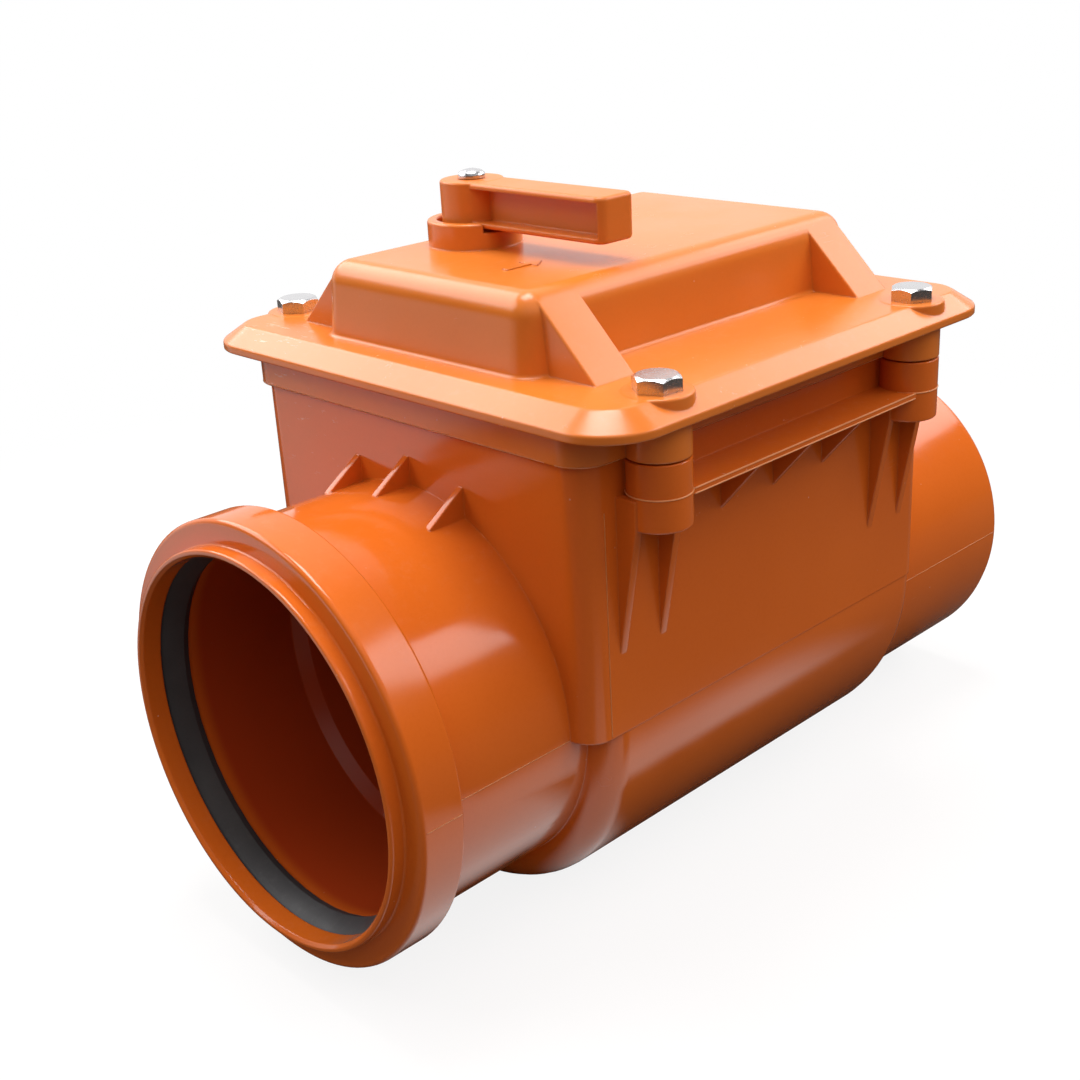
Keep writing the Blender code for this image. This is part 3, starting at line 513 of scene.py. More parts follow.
def buildGlossPlastic(name, look, wear=0.5, scuffs=(), bore=None):
    # scuffs are (place, reach, density), bore is (radius, start, end) of the inside, where painted shade darkens the
    # colour
    material, tree, ports = startMaterial(name, look["roughness"], index=1.5)
    tone = useGroup(tree, groups["toneDrift"], colour=(*look["colour"], 1), deepColour=(*look["deepColour"], 1), slowScale=11.0, fineScale=800.0, amount=0.55)
    worn = useGroup(tree, groups["edgeWear"], reach=look["edgeRadius"], patchScale=70.0, amount=wear, coverage=0.45)
    marks = useGroup(tree, groups["handlingMarks"], scratchScale=42.0, density=0.5, speckScale=330.0, speckDensity=0.35)
    grain = useGroup(tree, groups["mouldGrain"], waveScale=48.0, peelScale=520.0, peelShare=0.06, flowShare=look["flowShare"])
    dust = useGroup(tree, groups["dustFilm"], scale=210.0, amount=0.05)
    colour = mixColour(tree, worn["Mask"], tone["Colour"], (*look["wornColour"], 1))
    colour = mixColour(tree, mathOf(tree, "MULTIPLY", marks["Scratches"], 0.35), colour, (*look["wornColour"], 1))
    colour = mixColour(tree, mathOf(tree, "MULTIPLY", marks["Specks"], 0.45), colour, (*look["dustColour"], 1))
    colour = mixColour(tree, dust["Mask"], colour, (*look["dustColour"], 1))
    for middle, reach, density in scuffs:
        patch = useGroup(tree, groups["scuffPatch"], middle=middle, reach=reach, scale=420.0, density=density)
        colour = mixColour(tree, mathOf(tree, "MULTIPLY", patch["Mask"], 0.55), colour, (*look["scuffColour"], 1))
    # painted shade: the inside of the bore is darkened to stand for the shade there
    if bore:
        radius, start, end = bore
        split = addNode(tree, "SeparateXYZ")
        tree.links.new(addNode(tree, "TexCoord").outputs["Object"], split.inputs[0])
        across = addNode(tree, "CombineXYZ")
        tree.links.new(split.outputs["Y"], across.inputs["Y"])
        tree.links.new(split.outputs["Z"], across.inputs["Z"])
        off = addNode(tree, "VectorMath", operation="LENGTH")
        tree.links.new(across.outputs[0], off.inputs[0])
        boreShadeMask = mathOf(tree, "MULTIPLY", spread(tree, split.outputs["X"], start - 0.004, start + 0.004), spread(tree, split.outputs["X"], end - 0.001, end, 1.0, 0.0))
        boreShadeMask = mathOf(tree, "MULTIPLY", boreShadeMask, spread(tree, off.outputs["Value"], radius, radius + 0.0012, 1.0, 0.0))
        colour = mixColour(tree, boreShadeMask, colour, (*look["boreColour"], 1))
    tree.links.new(colour, ports["Base Color"])
    rough = spread(tree, grain["Sheen Patches"], 0.0, 1.0, look["roughness"] - 0.02, look["roughness"] + 0.03)
    rough = mathOf(tree, "ADD", rough, mathOf(tree, "MULTIPLY", worn["Mask"], 0.18))
    rough = mathOf(tree, "ADD", rough, mathOf(tree, "MULTIPLY", mathOf(tree, "MAXIMUM", marks["Scratches"], dust["Mask"]), 0.2), clamp=True)
    tree.links.new(rough, ports["Roughness"])
    height = mathOf(tree, "SUBTRACT", grain["Height"], mathOf(tree, "MULTIPLY", marks["Scratches"], 0.5))
    tree.links.new(roundNormal(tree, look["edgeRadius"], height, look["skinDepth"]), ports["Normal"])
    return material


blackRubber = {
    "colour": (0.044, 0.046, 0.050),
    "deepColour": (0.029, 0.030, 0.033),
    "dustColour": (0.10, 0.10, 0.10),
    "roughness": 0.44,
}


def buildRubber(name, look):
    material, tree, ports = startMaterial(name, look["roughness"], index=1.5)
    tone = useGroup(tree, groups["toneDrift"], colour=(*look["colour"], 1), deepColour=(*look["deepColour"], 1), slowScale=40.0, fineScale=1500.0, amount=0.8)
    bloom = useGroup(tree, groups["dustFilm"], scale=260.0, amount=0.35)
    grain = useGroup(tree, groups["mouldGrain"], waveScale=90.0, peelScale=1800.0, peelShare=0.6, flowShare=0.15)
    tree.links.new(mixColour(tree, bloom["Mask"], tone["Colour"], (*look["dustColour"], 1)), ports["Base Color"])
    rough = spread(tree, grain["Sheen Patches"], 0.0, 1.0, look["roughness"] - 0.06, look["roughness"] + 0.12)
    tree.links.new(rough, ports["Roughness"])
    tree.links.new(roundNormal(tree, 0.0003, grain["Height"], 0.00004), ports["Normal"])
    return material


zincSteel = {
    "colour": (0.68, 0.67, 0.68),
    "deepColour": (0.58, 0.57, 0.59),
    "tarnish": (0.40, 0.37, 0.33),
    "roughness": 0.24,
}
brightSteel = {
    "colour": (0.60, 0.60, 0.595),
    "deepColour": (0.50, 0.50, 0.50),
    "tarnish": (0.40, 0.38, 0.35),
    "roughness": 0.28,
}


def buildMetal(name, look, brush=(1, 1, 1), brushShare=0.2):
    material, tree, ports = startMaterial(name, look["roughness"], metallic=1.0)
    tone = useGroup(tree, groups["toneDrift"], colour=(*look["colour"], 1), deepColour=(*look["deepColour"], 1), slowScale=110.0, fineScale=2600.0, amount=0.5)
    worn = useGroup(tree, groups["edgeWear"], reach=0.0004, patchScale=400.0, amount=0.7, coverage=0.8)
    marks = useGroup(tree, groups["handlingMarks"], scratchScale=160.0, density=0.7, speckScale=1500.0, speckDensity=0.3)
    place = addNode(tree, "TexCoord").outputs["Object"]
    drawn = noiseOf(tree, stretched(tree, place, brush), 900.0, 2.0, 0.5)
    colour = mixColour(tree, mathOf(tree, "MULTIPLY", marks["Specks"], 0.6), tone["Colour"], (*look["tarnish"], 1))
    colour = mixColour(tree, mathOf(tree, "MULTIPLY", worn["Mask"], 0.5), colour, (0.78, 0.78, 0.78, 1))
    tree.links.new(colour, ports["Base Color"])
    rough = spread(tree, drawn, 0.3, 0.7, look["roughness"] - 0.03, look["roughness"] + 0.04)
    rough = mathOf(tree, "ADD", rough, mathOf(tree, "MULTIPLY", marks["Scratches"], 0.2), clamp=True)
    tree.links.new(rough, ports["Roughness"])
    height = mathOf(tree, "ADD", mathOf(tree, "MULTIPLY", drawn, brushShare), mathOf(tree, "MULTIPLY", marks["Scratches"], -0.6))
    tree.links.new(roundNormal(tree, 0.00025, height, 0.0000015), ports["Normal"])
    return material


greyPlastic = {
    "colour": (0.20, 0.21, 0.22),
    "deepColour": (0.15, 0.155, 0.165),
    "wornColour": (0.36, 0.37, 0.38),
    "dustColour": (0.42, 0.41, 0.40),
    "roughness": 0.38,
    "edgeRadius": 0.0006,
    "skinDepth": 0.00006,
    "flowShare": 0.08,
}

# the lid's satin finish, with a paler, yellower orange than the body: painted light for its lit faces
satinLitPlastic = glossPlastic | {"colour": (0.69, 0.188, 0.025), "deepColour": (0.63, 0.162, 0.019), "roughness": 0.24, "edgeRadius": 0.0009, "skinDepth": 0.00004, "flowShare": 0.02}
# a darker copy of the body's orange for the seat frame inside the body: painted shade
shadedInnerPlastic = glossPlastic | {"colour": (0.46, 0.075, 0.007), "deepColour": (0.40, 0.060, 0.005), "roughness": 0.40}
# a paler orange for the raised parting lines: painted highlight along them
flashPlastic = glossPlastic | {"colour": (0.90, 0.40, 0.16), "deepColour": (0.84, 0.33, 0.11), "roughness": 0.30}

# where the moulding was knocked: place, reach, density
lidScuffs = [((0.067, 0.066, 0.093), 0.030, 0.85), ((0.062, -0.030, 0.100), 0.030, 0.45), ((0.105, -0.092, 0.106), 0.016, 0.6)]
bodyScuffs = [((0.130, -0.090, 0.077), 0.035, 0.6), ((0.068, 0.050, 0.085), 0.032, 0.70)]

paints = {
    # the body's bore gets painted shade
    "bodyPlastic": buildGlossPlastic("orangeBodyPlastic", glossPlastic, scuffs=bodyScuffs, bore=(0.0650, 0.020, 0.225)),
    # the lid and lever get the paler lit copy of the orange: painted light
    "lidPlastic": buildGlossPlastic("orangeLidPlastic", satinLitPlastic, scuffs=lidScuffs),
    "leverPlastic": buildGlossPlastic("orangeLeverPlastic", satinLitPlastic | {"colour": (0.69, 0.180, 0.022), "deepColour": (0.63, 0.155, 0.017), "roughness": 0.32}, wear=0.6),
    "flapPlastic": buildGlossPlastic("orangeFlapPlastic", glossPlastic, wear=0.3),
    # painted shade: the seat frame gets the darker copy of the orange
    "framePlastic": buildGlossPlastic("orangeFramePlastic", shadedInnerPlastic, wear=0.0),
    # painted highlight: the parting lines' paler orange
    "flashPlastic": buildGlossPlastic("orangeFlashPlastic", flashPlastic, wear=0.2),
    "frameGrey": buildGlossPlastic("greyFramePlastic", greyPlastic, wear=0.3),
    "rubber": buildRubber("blackSealRubber", blackRubber),
    "zinc": buildMetal("zincPlatedSteel", zincSteel, brushShare=0.05),
    "stainless": buildMetal("turnedStainless", brightSteel, brush=(0.2, 0.2, 1.6), brushShare=0.4),
}
print("materials built:", len(paints))


chamber = {
    "front": 0.0688, "rear": 0.2454, "half": 0.0765, "corner": 0.009,
    "wall": 0.004, "rimTop": 0.088, "rimWall": 0.007, "frameTop": 0.079, "floorDrop": 0.0005,
    "troughFront": 0.076, "troughDrop": 0.003, "troughTop": 0.006, "troughRound": 0.010, "step": 0.0002,
    "innerRound": 0.004, "pocketInset": 0.0015,
}
socket = {
    "lipRadius": 0.0654, "lipLength": 0.005, "beadRadius": 0.0733, "beadRound": 0.0016, "beadEnd": 0.0203,
    "shoulder": 0.0032, "barrelRadius": 0.0676, "land": 0.081, "bore": 0.0629, "grooveStart": 0.0075,
    "grooveLength": 0.010, "grooveRadius": 0.0699, "depth": 0.060, "passage": 0.0593, "lipRound": 0.0007,
}
spigot = {"radius": 0.0625, "drop": 0.0147, "end": 0.328, "chamfer": 0.003, "chamferDepth": 0.001}
bosses = {
    "places": [(x, y) for x in (0.0931, 0.2211) for y in (-0.0841, 0.0841)], "radius": 0.0098, "bottom": 0.0673,
    "hexRadius": 0.007506, "nutHeight": 0.0065, "boltHole": 0.0045,
}
ledge = {
    "reach": 0.0150, "top": 0.0778, "bottom": 0.0757, "round": 0.0004, "ribPitch": 0.0263, "ribReach": 0.0146,
    "ribHeight": 0.0169, "ribThickness": 0.0018, "finOffset": 0.009, "finThickness": 0.003, "finFoot": 0.0260,
}
frontRibs = {"pitch": 0.025, "thickness": 0.0026, "height": 0.0096, "length": 0.0142}
roundSteps = 120


def chamberPlan(front, side, radius, steps=10):
    return roundedPlan(chamber["front"] - front, chamber["rear"] + front, -chamber["half"] - side, chamber["half"] + side, radius, steps)


def atHeight(plan, height):
    return [(a, b, height) for a, b in plan]


def troughShape(low, high, half, top, fillet):
    plan = arcPoints(0, -chamber["troughDrop"], half, 180, 360, roundSteps // 2) + [(half, top), (-half, top)]
    shape = prismShape(plan, "X", low, high)
    ends = []
    for edge in shape.edges:
        a, b = (vert.co for vert in edge.verts)
        if abs(a.x - b.x) < 1e-6 and min(a.z, b.z) < top - 1e-6:
            ends.append(edge)
    bmesh.ops.bevel(shape, geom=ends, offset=fillet, segments=8, profile=0.5, affect="EDGES")
    return shape


def bodyRibs():
    ribs = []
    middle = (chamber["front"] + chamber["rear"]) / 2
    root = chamber["half"] - 0.002
    for side in (-1, 1):
        for place in (-1, 0, 1):
            x = middle + place * ledge["ribPitch"]
            plan = [
                (side * root, ledge["bottom"] + 0.001), (side * (chamber["half"] + ledge["ribReach"]), ledge["bottom"] + 0.001),
                (side * (chamber["half"] + ledge["ribReach"]), ledge["bottom"] - 0.0003),
                (side * chamber["half"], ledge["bottom"] - ledge["ribHeight"]), (side * root, ledge["bottom"] - ledge["ribHeight"]),
            ]
            ribs.append(softEdges(prismShape(plan, "X", x - ledge["ribThickness"] / 2, x + ledge["ribThickness"] / 2), 0.0003))
    for x, y in bosses["places"]:
        side = math.copysign(1, y)
        for place in (-1, 1):
            centre = x + place * ledge["finOffset"]
            plan = [
                (side * root, ledge["bottom"] + 0.001), (y, ledge["bottom"] + 0.001), (y, bosses["bottom"]),
                (side * chamber["half"], ledge["finFoot"]), (side * root, ledge["finFoot"]),
            ]
            ribs.append(softEdges(prismShape(plan, "X", centre - ledge["finThickness"] / 2, centre + ledge["finThickness"] / 2), 0.00035))
    return ribs


def frontRib(y):
    surface = math.sqrt(socket["barrelRadius"]**2 - y**2)
    foot = chamber["front"] - frontRibs["length"]
    plan = [
        (foot, surface - 0.002), (chamber["front"] + 0.002, surface - 0.002), (chamber["front"] + 0.002, surface + frontRibs["height"]),
        (chamber["front"], surface + frontRibs["height"]), (foot, surface),
    ]
    return softEdges(prismShape(plan, "Y", y - frontRibs["thickness"] / 2, y + frontRibs["thickness"] / 2), 0.0004)


def socketOutside():
    r = socket["beadRound"]
    lip = socket["lipRound"]
    profile = [(0, 0)] + arcPoints(lip, socket["lipRadius"] - lip, lip, 180, 90, 4)
    profile += [(socket["lipLength"] - 0.0004, socket["lipRadius"]), (socket["lipLength"], socket["lipRadius"] + 0.0004)]
    profile += arcPoints(socket["lipLength"] + r, socket["beadRadius"] - r, r, 180, 90, 6)
    profile += arcPoints(socket["beadEnd"] - 0.0008, socket["beadRadius"] - 0.0008, 0.0008, 90, 45, 3)
    profile += [(socket["beadEnd"] + socket["shoulder"] - 0.0003, socket["barrelRadius"] + 0.0004),
                (socket["beadEnd"] + socket["shoulder"] + 0.0005, socket["barrelRadius"]), (socket["land"], socket["barrelRadius"]), (socket["land"], 0)]
    return latheShape(profile, "X", steps=roundSteps)


def socketInside():
    bore = socket["bore"]
    end = socket["grooveStart"] + socket["grooveLength"]
    return latheShape([
        (-0.001, 0), (-0.001, bore + 0.002), (0.001, bore), (socket["grooveStart"], bore), (socket["grooveStart"], socket["grooveRadius"]),
        (end, socket["grooveRadius"]), (end, bore), (socket["depth"] - 0.0006, bore), (socket["depth"], bore - 0.0004),
        (socket["depth"] + chamber["wall"], socket["passage"]), (socket["land"] + 0.001, socket["passage"]), (socket["land"] + 0.001, 0),
    ], "X", steps=roundSteps)


def buildBody():
    body = newPiece("valveBodyShell", prismShape(chamberPlan(0, 0, chamber["corner"]), "Z", -chamber["floorDrop"], chamber["rimTop"]))
    half = chamber["half"]
    wall = chamber["wall"]
    ledges = []
    for side in (-1, 1):
        low, high = sorted((side * (half - 0.002), side * (half + ledge["reach"])))
        ledges.append(softEdges(prismShape(boxPlan(0.0931, 0.2211, low, high), "Z", ledge["bottom"], ledge["top"]), ledge["round"]))
    posts = []
    for x, y in bosses["places"]:
        r = bosses["radius"]
        profile = [(bosses["bottom"], 0), (bosses["bottom"], r - 0.0006)] + arcPoints(bosses["bottom"] + 0.0006, r - 0.0006, 0.0006, 180, 90, 3)[1:]
        profile += [(chamber["rimTop"] - 0.0003, r), (chamber["rimTop"] - 0.0001, r - 0.0002), (chamber["rimTop"] - 0.0001, 0)]
        posts.append(latheShape(profile, "Z", (x, y, 0), 48))
    outlet = (0, 0, -spigot["drop"])
    pipe = latheShape([
        (chamber["rear"] - wall + 0.001, 0), (chamber["rear"] - wall + 0.001, spigot["radius"]), (spigot["end"] - spigot["chamfer"], spigot["radius"]),
        (spigot["end"] - 0.0004, spigot["radius"] - spigot["chamferDepth"] + 0.0001), (spigot["end"], spigot["radius"] - spigot["chamferDepth"] - 0.0003), (spigot["end"], 0),
    ], "X", outlet, roundSteps)
    opening = roundedPlan(chamber["front"] + 0.007, chamber["rear"] - 0.007, 0.007 - half, half - 0.007, chamber["innerRound"])
    pocketHalf = half - wall - chamber["pocketInset"]
    pocket = boxPlan(-pocketHalf, pocketHalf, wall, chamber["frameTop"] - 0.001)
    rails = []
    for side in (-1, 1):
        low, high = sorted((side * 0.0652, side * 0.0745))
        rails.append(prismShape(boxPlan(0.0876, 0.0916, low, high), "Z", -chamber["troughDrop"], chamber["frameTop"] - wall))
    middle = half - 0.0035
    shift = half - middle
    groove = []
    for offset, depths in ((0.002, (0.0851, 0.089)), (-0.002, (0.089, 0.0851))):
        plan = chamberPlan(offset - shift, offset - shift, chamber["corner"] - shift + offset)
        groove += [atHeight(plan, depth) for depth in depths]
    nutTop = bosses["bottom"] + bosses["nutHeight"] + 0.0006
    carve(body, [
        ("UNION", [troughShape(chamber["troughFront"], chamber["rear"] - chamber["step"], half - chamber["step"], chamber["troughTop"], chamber["troughRound"])]),
        ("UNION", posts),
        ("UNION", ledges),
        ("UNION", bodyRibs()),
        ("UNION", [frontRib(place * frontRibs["pitch"]) for place in (-1, 0, 1)]),
        ("DIFFERENCE", [troughShape(0.080, 0.2414, 0.0725, chamber["frameTop"], chamber["innerRound"])]),
        ("DIFFERENCE", [prismShape(pocket, "X", chamber["front"] + wall, 0.084)]),
        ("DIFFERENCE", [prismShape(opening, "Z", 0.070, 0.092)]),
        ("UNION", rails),
        ("UNION", [socketOutside()]),
        ("UNION", [pipe]),
        ("DIFFERENCE", [socketInside()]),
        ("DIFFERENCE", [rodShape("X", outlet, socket["passage"], 0.2374, 0.332, roundSteps)]),
        ("DIFFERENCE", [ringStack(groove, closed=True)]),
        ("DIFFERENCE", [rodShape("Z", (x, y, 0), bosses["boltHole"], bosses["bottom"] + 0.002, 0.092, 24) for x, y in bosses["places"]]),
        ("DIFFERENCE", [rodShape("Z", (x, y, 0), bosses["hexRadius"] + 0.0003, bosses["bottom"] - 0.001, nutTop, 6, turn=math.pi / 6) for x, y in bosses["places"]]),
    ])
    return finishPiece(body, "valve", paints["bodyPlastic"], ["valve_body"])


buildBody()
print("valve body built")


lidSizes = {
    "bottom": 0.0884, "flangeBottom": 0.0994, "edge": 0.003, "plateTop": 0.1072, "plate": 0.004, "top": 0.1316,
    "flangeFront": 0.0085, "flangeSide": 0.0205, "flangeCorner": 0.0192, "flangeSlope": 0.008, "edgeRound": 0.0011,
    "skirtFront": 0.002, "skirtSide": 0.003, "raisedFront": 0.0773, "raisedRear": 0.2369, "raisedHalf": 0.050,
    "raisedCorner": 0.0095, "draft": 0.0013, "round": 0.008, "padRadius": 0.0108,
    "gussetWidth": 0.0168, "gussetSetback": 0.0073, "gussetReach": 0.0185, "gussetDrop": 0.0021,
    "stripLength": 0.034, "stripHeight": 0.006, "stripDepth": 0.0022,
}
spindle = {"x": 0.126662, "y": 0.0253, "hole": 0.0063, "bossRadius": 0.010, "bossDrop": 0.0173}
collar = {"radius": 0.0158, "bore": 0.0124, "height": 0.0085, "low": 0.0054, "round": 0.0009, "stop": 0.00835}


def raisedPlan(inset, draft, steps=10):
    total = inset + draft
    return roundedPlan(lidSizes["raisedFront"] + total, lidSizes["raisedRear"] - total, total - lidSizes["raisedHalf"], lidSizes["raisedHalf"] - total, max(lidSizes["raisedCorner"] - total, 0.0005), steps)


def flangeShape():
    r = lidSizes["edgeRound"]
    rings = []
    rows = [(0.0003, 0.0), (0.0, 0.0003), (0.0, lidSizes["edge"] - r)]
    rows += [(r * (1 - math.cos(t)) * 0.9, lidSizes["edge"] - r + r * math.sin(t) + 0.0001) for t in (0.3, 0.6, 0.9)]
    rise = lidSizes["plateTop"] - lidSizes["flangeBottom"]
    for inset, height in rows:
        rings.append(atHeight(chamberPlan(lidSizes["flangeFront"] - inset, lidSizes["flangeSide"] - inset, lidSizes["flangeCorner"] - inset, 14), lidSizes["flangeBottom"] + height))
    slope = lidSizes["flangeSlope"]
    for share in (0.9, 0.96, 1.0, 1.05):
        inset = slope * share
        drop = {0.9: 0.1, 0.96: 0.045, 1.0: 0.015, 1.05: 0.0}[share]
        height = rise - (rise - lidSizes["edge"]) * drop
        rings.append(atHeight(chamberPlan(lidSizes["flangeFront"] - inset, lidSizes["flangeSide"] - inset, lidSizes["flangeCorner"] - inset, 14), lidSizes["flangeBottom"] + height))
    return ringStack(rings)


def raisedShape():
    shoulder = lidSizes["top"] - lidSizes["round"]
    foot = 0.0012
    rings = [atHeight(raisedPlan(-foot, 0), lidSizes["plateTop"] - 0.001), atHeight(raisedPlan(-foot, 0), lidSizes["plateTop"] + 0.00005)]
    for turn in (30, 60, 90):
        t = math.radians(turn)
        rings.append(atHeight(raisedPlan(-foot * (1 - math.sin(t)), 0), lidSizes["plateTop"] + foot * (1 - math.cos(t)) + 0.00005))
    rings.append(atHeight(raisedPlan(0, lidSizes["draft"]), shoulder))
    for i in range(1, 11):
        turn = math.pi / 2 * i / 10
        rings.append(atHeight(raisedPlan(lidSizes["round"] * (1 - math.cos(turn)), lidSizes["draft"]), shoulder + lidSizes["round"] * math.sin(turn)))
    return ringStack(rings)


def gussetShape(x, side):
    root = side * (lidSizes["raisedHalf"] - 0.004)
    foot = side * (lidSizes["raisedHalf"] + lidSizes["gussetReach"])
    low = lidSizes["plateTop"] - 0.001
    high = lidSizes["top"] - lidSizes["gussetDrop"]
    shape = prismShape([(root, low), (root, high), (foot, lidSizes["plateTop"]), (foot, low)], "X", x, x + lidSizes["gussetWidth"])
    return softEdges(shape, 0.0007, 3)


def buildLid():
    s = lidSizes
    lid = newPiece("lidShell", flangeShape())
    skirt = chamberPlan(s["skirtFront"], s["skirtSide"], chamber["corner"] + s["skirtFront"])
    skirtLow = chamberPlan(s["skirtFront"] - 0.0004, s["skirtSide"] - 0.0004, chamber["corner"] + s["skirtFront"] - 0.0004)
    skirtShape = ringStack([atHeight(skirtLow, s["bottom"]), atHeight(skirt, s["bottom"] + 0.0004), atHeight(skirt, s["flangeBottom"] + 0.001)])
    places = bosses["places"]
    posts = []
    pads = []
    for x, y in places:
        r = bosses["radius"]
        posts.append(latheShape([(s["bottom"] + 0.0001, 0), (s["bottom"] + 0.0001, r - 0.0002), (s["bottom"] + 0.0003, r), (s["flangeBottom"] + 0.001, r), (s["flangeBottom"] + 0.001, 0)], "Z", (x, y, 0), 48))
        r = s["padRadius"]
        top = s["plateTop"] + 0.0002
        pads.append(latheShape([(s["flangeBottom"] + 0.0005, 0), (s["flangeBottom"] + 0.0005, r)] + arcPoints(top - 0.0008, r - 0.0008, 0.0008, 90, 0, 4) + [(top, 0)], "Z", (x, y, 0), 48))
    strips = []
    for x, direction in ((places[0][0], 1), (places[2][0], -1)):
        for side in (-1, 1):
            low, high = sorted((x, x + direction * s["stripLength"]))
            inner, outer = sorted((side * chamber["half"], side * (chamber["half"] + s["skirtSide"] + s["stripDepth"])))
            strips.append(softEdges(prismShape(boxPlan(low, high, inner, outer), "Z", s["flangeBottom"] - s["stripHeight"], s["flangeBottom"] + 0.001), 0.0004))
    gussets = []
    for x in (s["raisedFront"] + s["gussetSetback"], s["raisedRear"] - s["gussetSetback"] - s["gussetWidth"]):
        gussets += [gussetShape(x, side) for side in (-1, 1)]
    upper = s["top"] + collar["height"]
    r = collar["round"]
    ringProfile = [(s["top"] - 0.001, collar["bore"]), (s["top"] - 0.001, collar["radius"])]
    ringProfile += [(a, b) for a, b in arcPoints(upper - r, collar["radius"] - r, r, 90, 0, 4)] + [(upper, collar["bore"] + 0.0004), (upper - 0.0004, collar["bore"])]
    stop = collar["stop"]
    sector = boxPlan(spindle["x"] - stop, spindle["x"] + 0.032, spindle["y"] - 0.032, spindle["y"] + stop)
    opening = roundedPlan(chamber["front"] + 0.007, chamber["rear"] - 0.007, 0.007 - chamber["half"], chamber["half"] - 0.007, chamber["innerRound"])
    plateBottom = s["plateTop"] - s["plate"]
    inside = ringStack([atHeight(raisedPlan(0.004, 0), plateBottom - 0.004), atHeight(raisedPlan(0.004, 0), plateBottom + 0.004), atHeight(raisedPlan(0.004, s["draft"]), s["top"] - 0.004)])
    centre = (spindle["x"], spindle["y"], 0)
    carve(lid, [
        ("UNION", [skirtShape]),
        ("UNION", [raisedShape()]),
        ("UNION", gussets),
        ("UNION", posts),
        ("UNION", pads),
        ("UNION", strips),
        ("UNION", [latheShape(ringProfile, "Z", centre, 72)]),
        ("DIFFERENCE", [prismShape(sector, "Z", s["top"] + collar["low"], upper + 0.004)]),
        ("DIFFERENCE", [prismShape(opening, "Z", s["bottom"] - 0.004, plateBottom)]),
        ("DIFFERENCE", [inside]),
        ("UNION", [rodShape("Z", centre, spindle["bossRadius"], s["top"] - spindle["bossDrop"], s["top"] - 0.002, 40)]),
        ("DIFFERENCE", [rodShape("Z", centre, spindle["hole"], plateBottom, s["top"] + 0.004, 40)]),
        ("DIFFERENCE", [rodShape("Z", (x, y, 0), bosses["boltHole"], s["bottom"] - 0.004, s["plateTop"], 24) for x, y in places]),
    ])
    return finishPiece(lid, "valve", paints["lidPlastic"], ["lid"])


buildLid()
print("lid built")


lever = {
    "hubRadius": 0.0107, "lift": 0.0027, "top": 0.0211, "length": 0.0658, "width": 0.0157, "height": 0.0145,
    "lip": 0.0018, "web": 0.004, "endBlock": 0.0022, "corner": 0.0034, "round": 0.0013, "square": 0.0044,
}


def buildLever():
    s = lever
    base = lidSizes["top"]
    x, y = spindle["x"], spindle["y"]
    r = s["hubRadius"]
    top = base + s["top"]
    hub = [(base + s["lift"], 0), (base + s["lift"], r - 0.0004), (base + s["lift"] + 0.0004, r)]
    hub += arcPoints(top - 0.0008, r - 0.0008, 0.0008, 90, 0, 4) + [(top, 0)]
    piece = newPiece("leverShell", latheShape(hub, "Z", (x, y, 0), 96))
    half = s["width"] / 2
    low = top - s["height"]
    high = top - 0.0001
    plan = arcPoints(x + half - s["corner"], y + s["corner"] - s["length"], s["corner"], 270, 360, 8) + [(x + half, y), (x - half, y)]
    plan += arcPoints(x - half + s["corner"], y + s["corner"] - s["length"], s["corner"], 180, 270, 8)
    arm = softEdges(prismShape(plan, "Z", low, high), s["round"], 3)
    inner = math.sqrt(r**2 - half**2)
    near = s["web"] / 2
    recesses = []
    for side in (-1, 1):
        edge = [(a, b) for a, b in arcPoints(0, 0, r + 0.0001, 270, 270 + math.degrees(math.acos(inner / r)), 12) if a > near]
        outline = [(near, -math.sqrt(r**2 - near**2))] + edge + [(half + 0.004, -inner)]
        outline += [(half + 0.004, s["endBlock"] - s["length"]), (near, s["endBlock"] - s["length"])]
        recesses.append(prismShape([(x + side * a, y + b) for a, b in outline], "Z", low + s["lip"], high - s["lip"]))
    hole = s["square"]
    carve(piece, [
        ("UNION", [arm]),
        ("DIFFERENCE", recesses),
        ("DIFFERENCE", [rodShape("Z", (x, y, 0), 0.0028, top - 0.0075, top + 0.004, 24)]),
        ("DIFFERENCE", [prismShape(boxPlan(x - hole, x + hole, y - hole, y + hole), "Z", base - 0.0013, top - 0.0032)]),
    ])
    return finishPiece(piece, "lever", paints["leverPlastic"], ["lever"])


buildLever()
print("lever built")


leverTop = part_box("lever")[1][2]
plainParts = [
    # node, piece, body, finish, slot
    ("flap", "flapDisc", "flap", "flapPlastic", "orange_plastic"),
    ("flap_frame", "seatFrame", "valve", "framePlastic", "orange_plastic"),
    # the seat frame's finish is the darker copy of the orange, painted shade
    ("lock_cam", "lockingCam", "lever", "frameGrey", "grey_plastic"),
    ("frame_gasket", "frameSeal", "valve", "rubber", "black_rubber"),
    ("lid_gasket", "lidSeal", "valve", "rubber", "black_rubber"),
    ("flap_seal", "flapFaceSeal", "flap", "rubber", "black_rubber"),
    ("socket_seal", "socketLipSeal", "valve", "rubber", "black_rubber"),
    ("spindle_oring", "spindleRing", "lever", "rubber", "black_rubber"),
    ("spindle", "spindleShaft", "lever", "stainless", "stainless_steel"),
    ("hinge_pin", "hingePinRod", "valve", "stainless", "stainless_steel"),
    ("hinge_clip", "hingePinClip", "valve", "stainless", "stainless_steel"),
    ("cam_washer", "camWasherDisc", "lever", "stainless", "stainless_steel"),
    ("cam_screw", "camScrewPan", "lever", "stainless", "stainless_steel"),
    ("lever_screw", "leverScrewPan", "lever", "zinc", "zinc_steel"),
]
for node, name, body, finish, slot in plainParts:
    part = copyNode(node, name)
    if node == "lever_screw":
        for dot in part.data.vertices:
            dot.co.z = min(dot.co.z, leverTop + (dot.co.z - leverTop) * 0.82)  # a flatter dome
    finishPiece(part, body, paints[finish], [node])
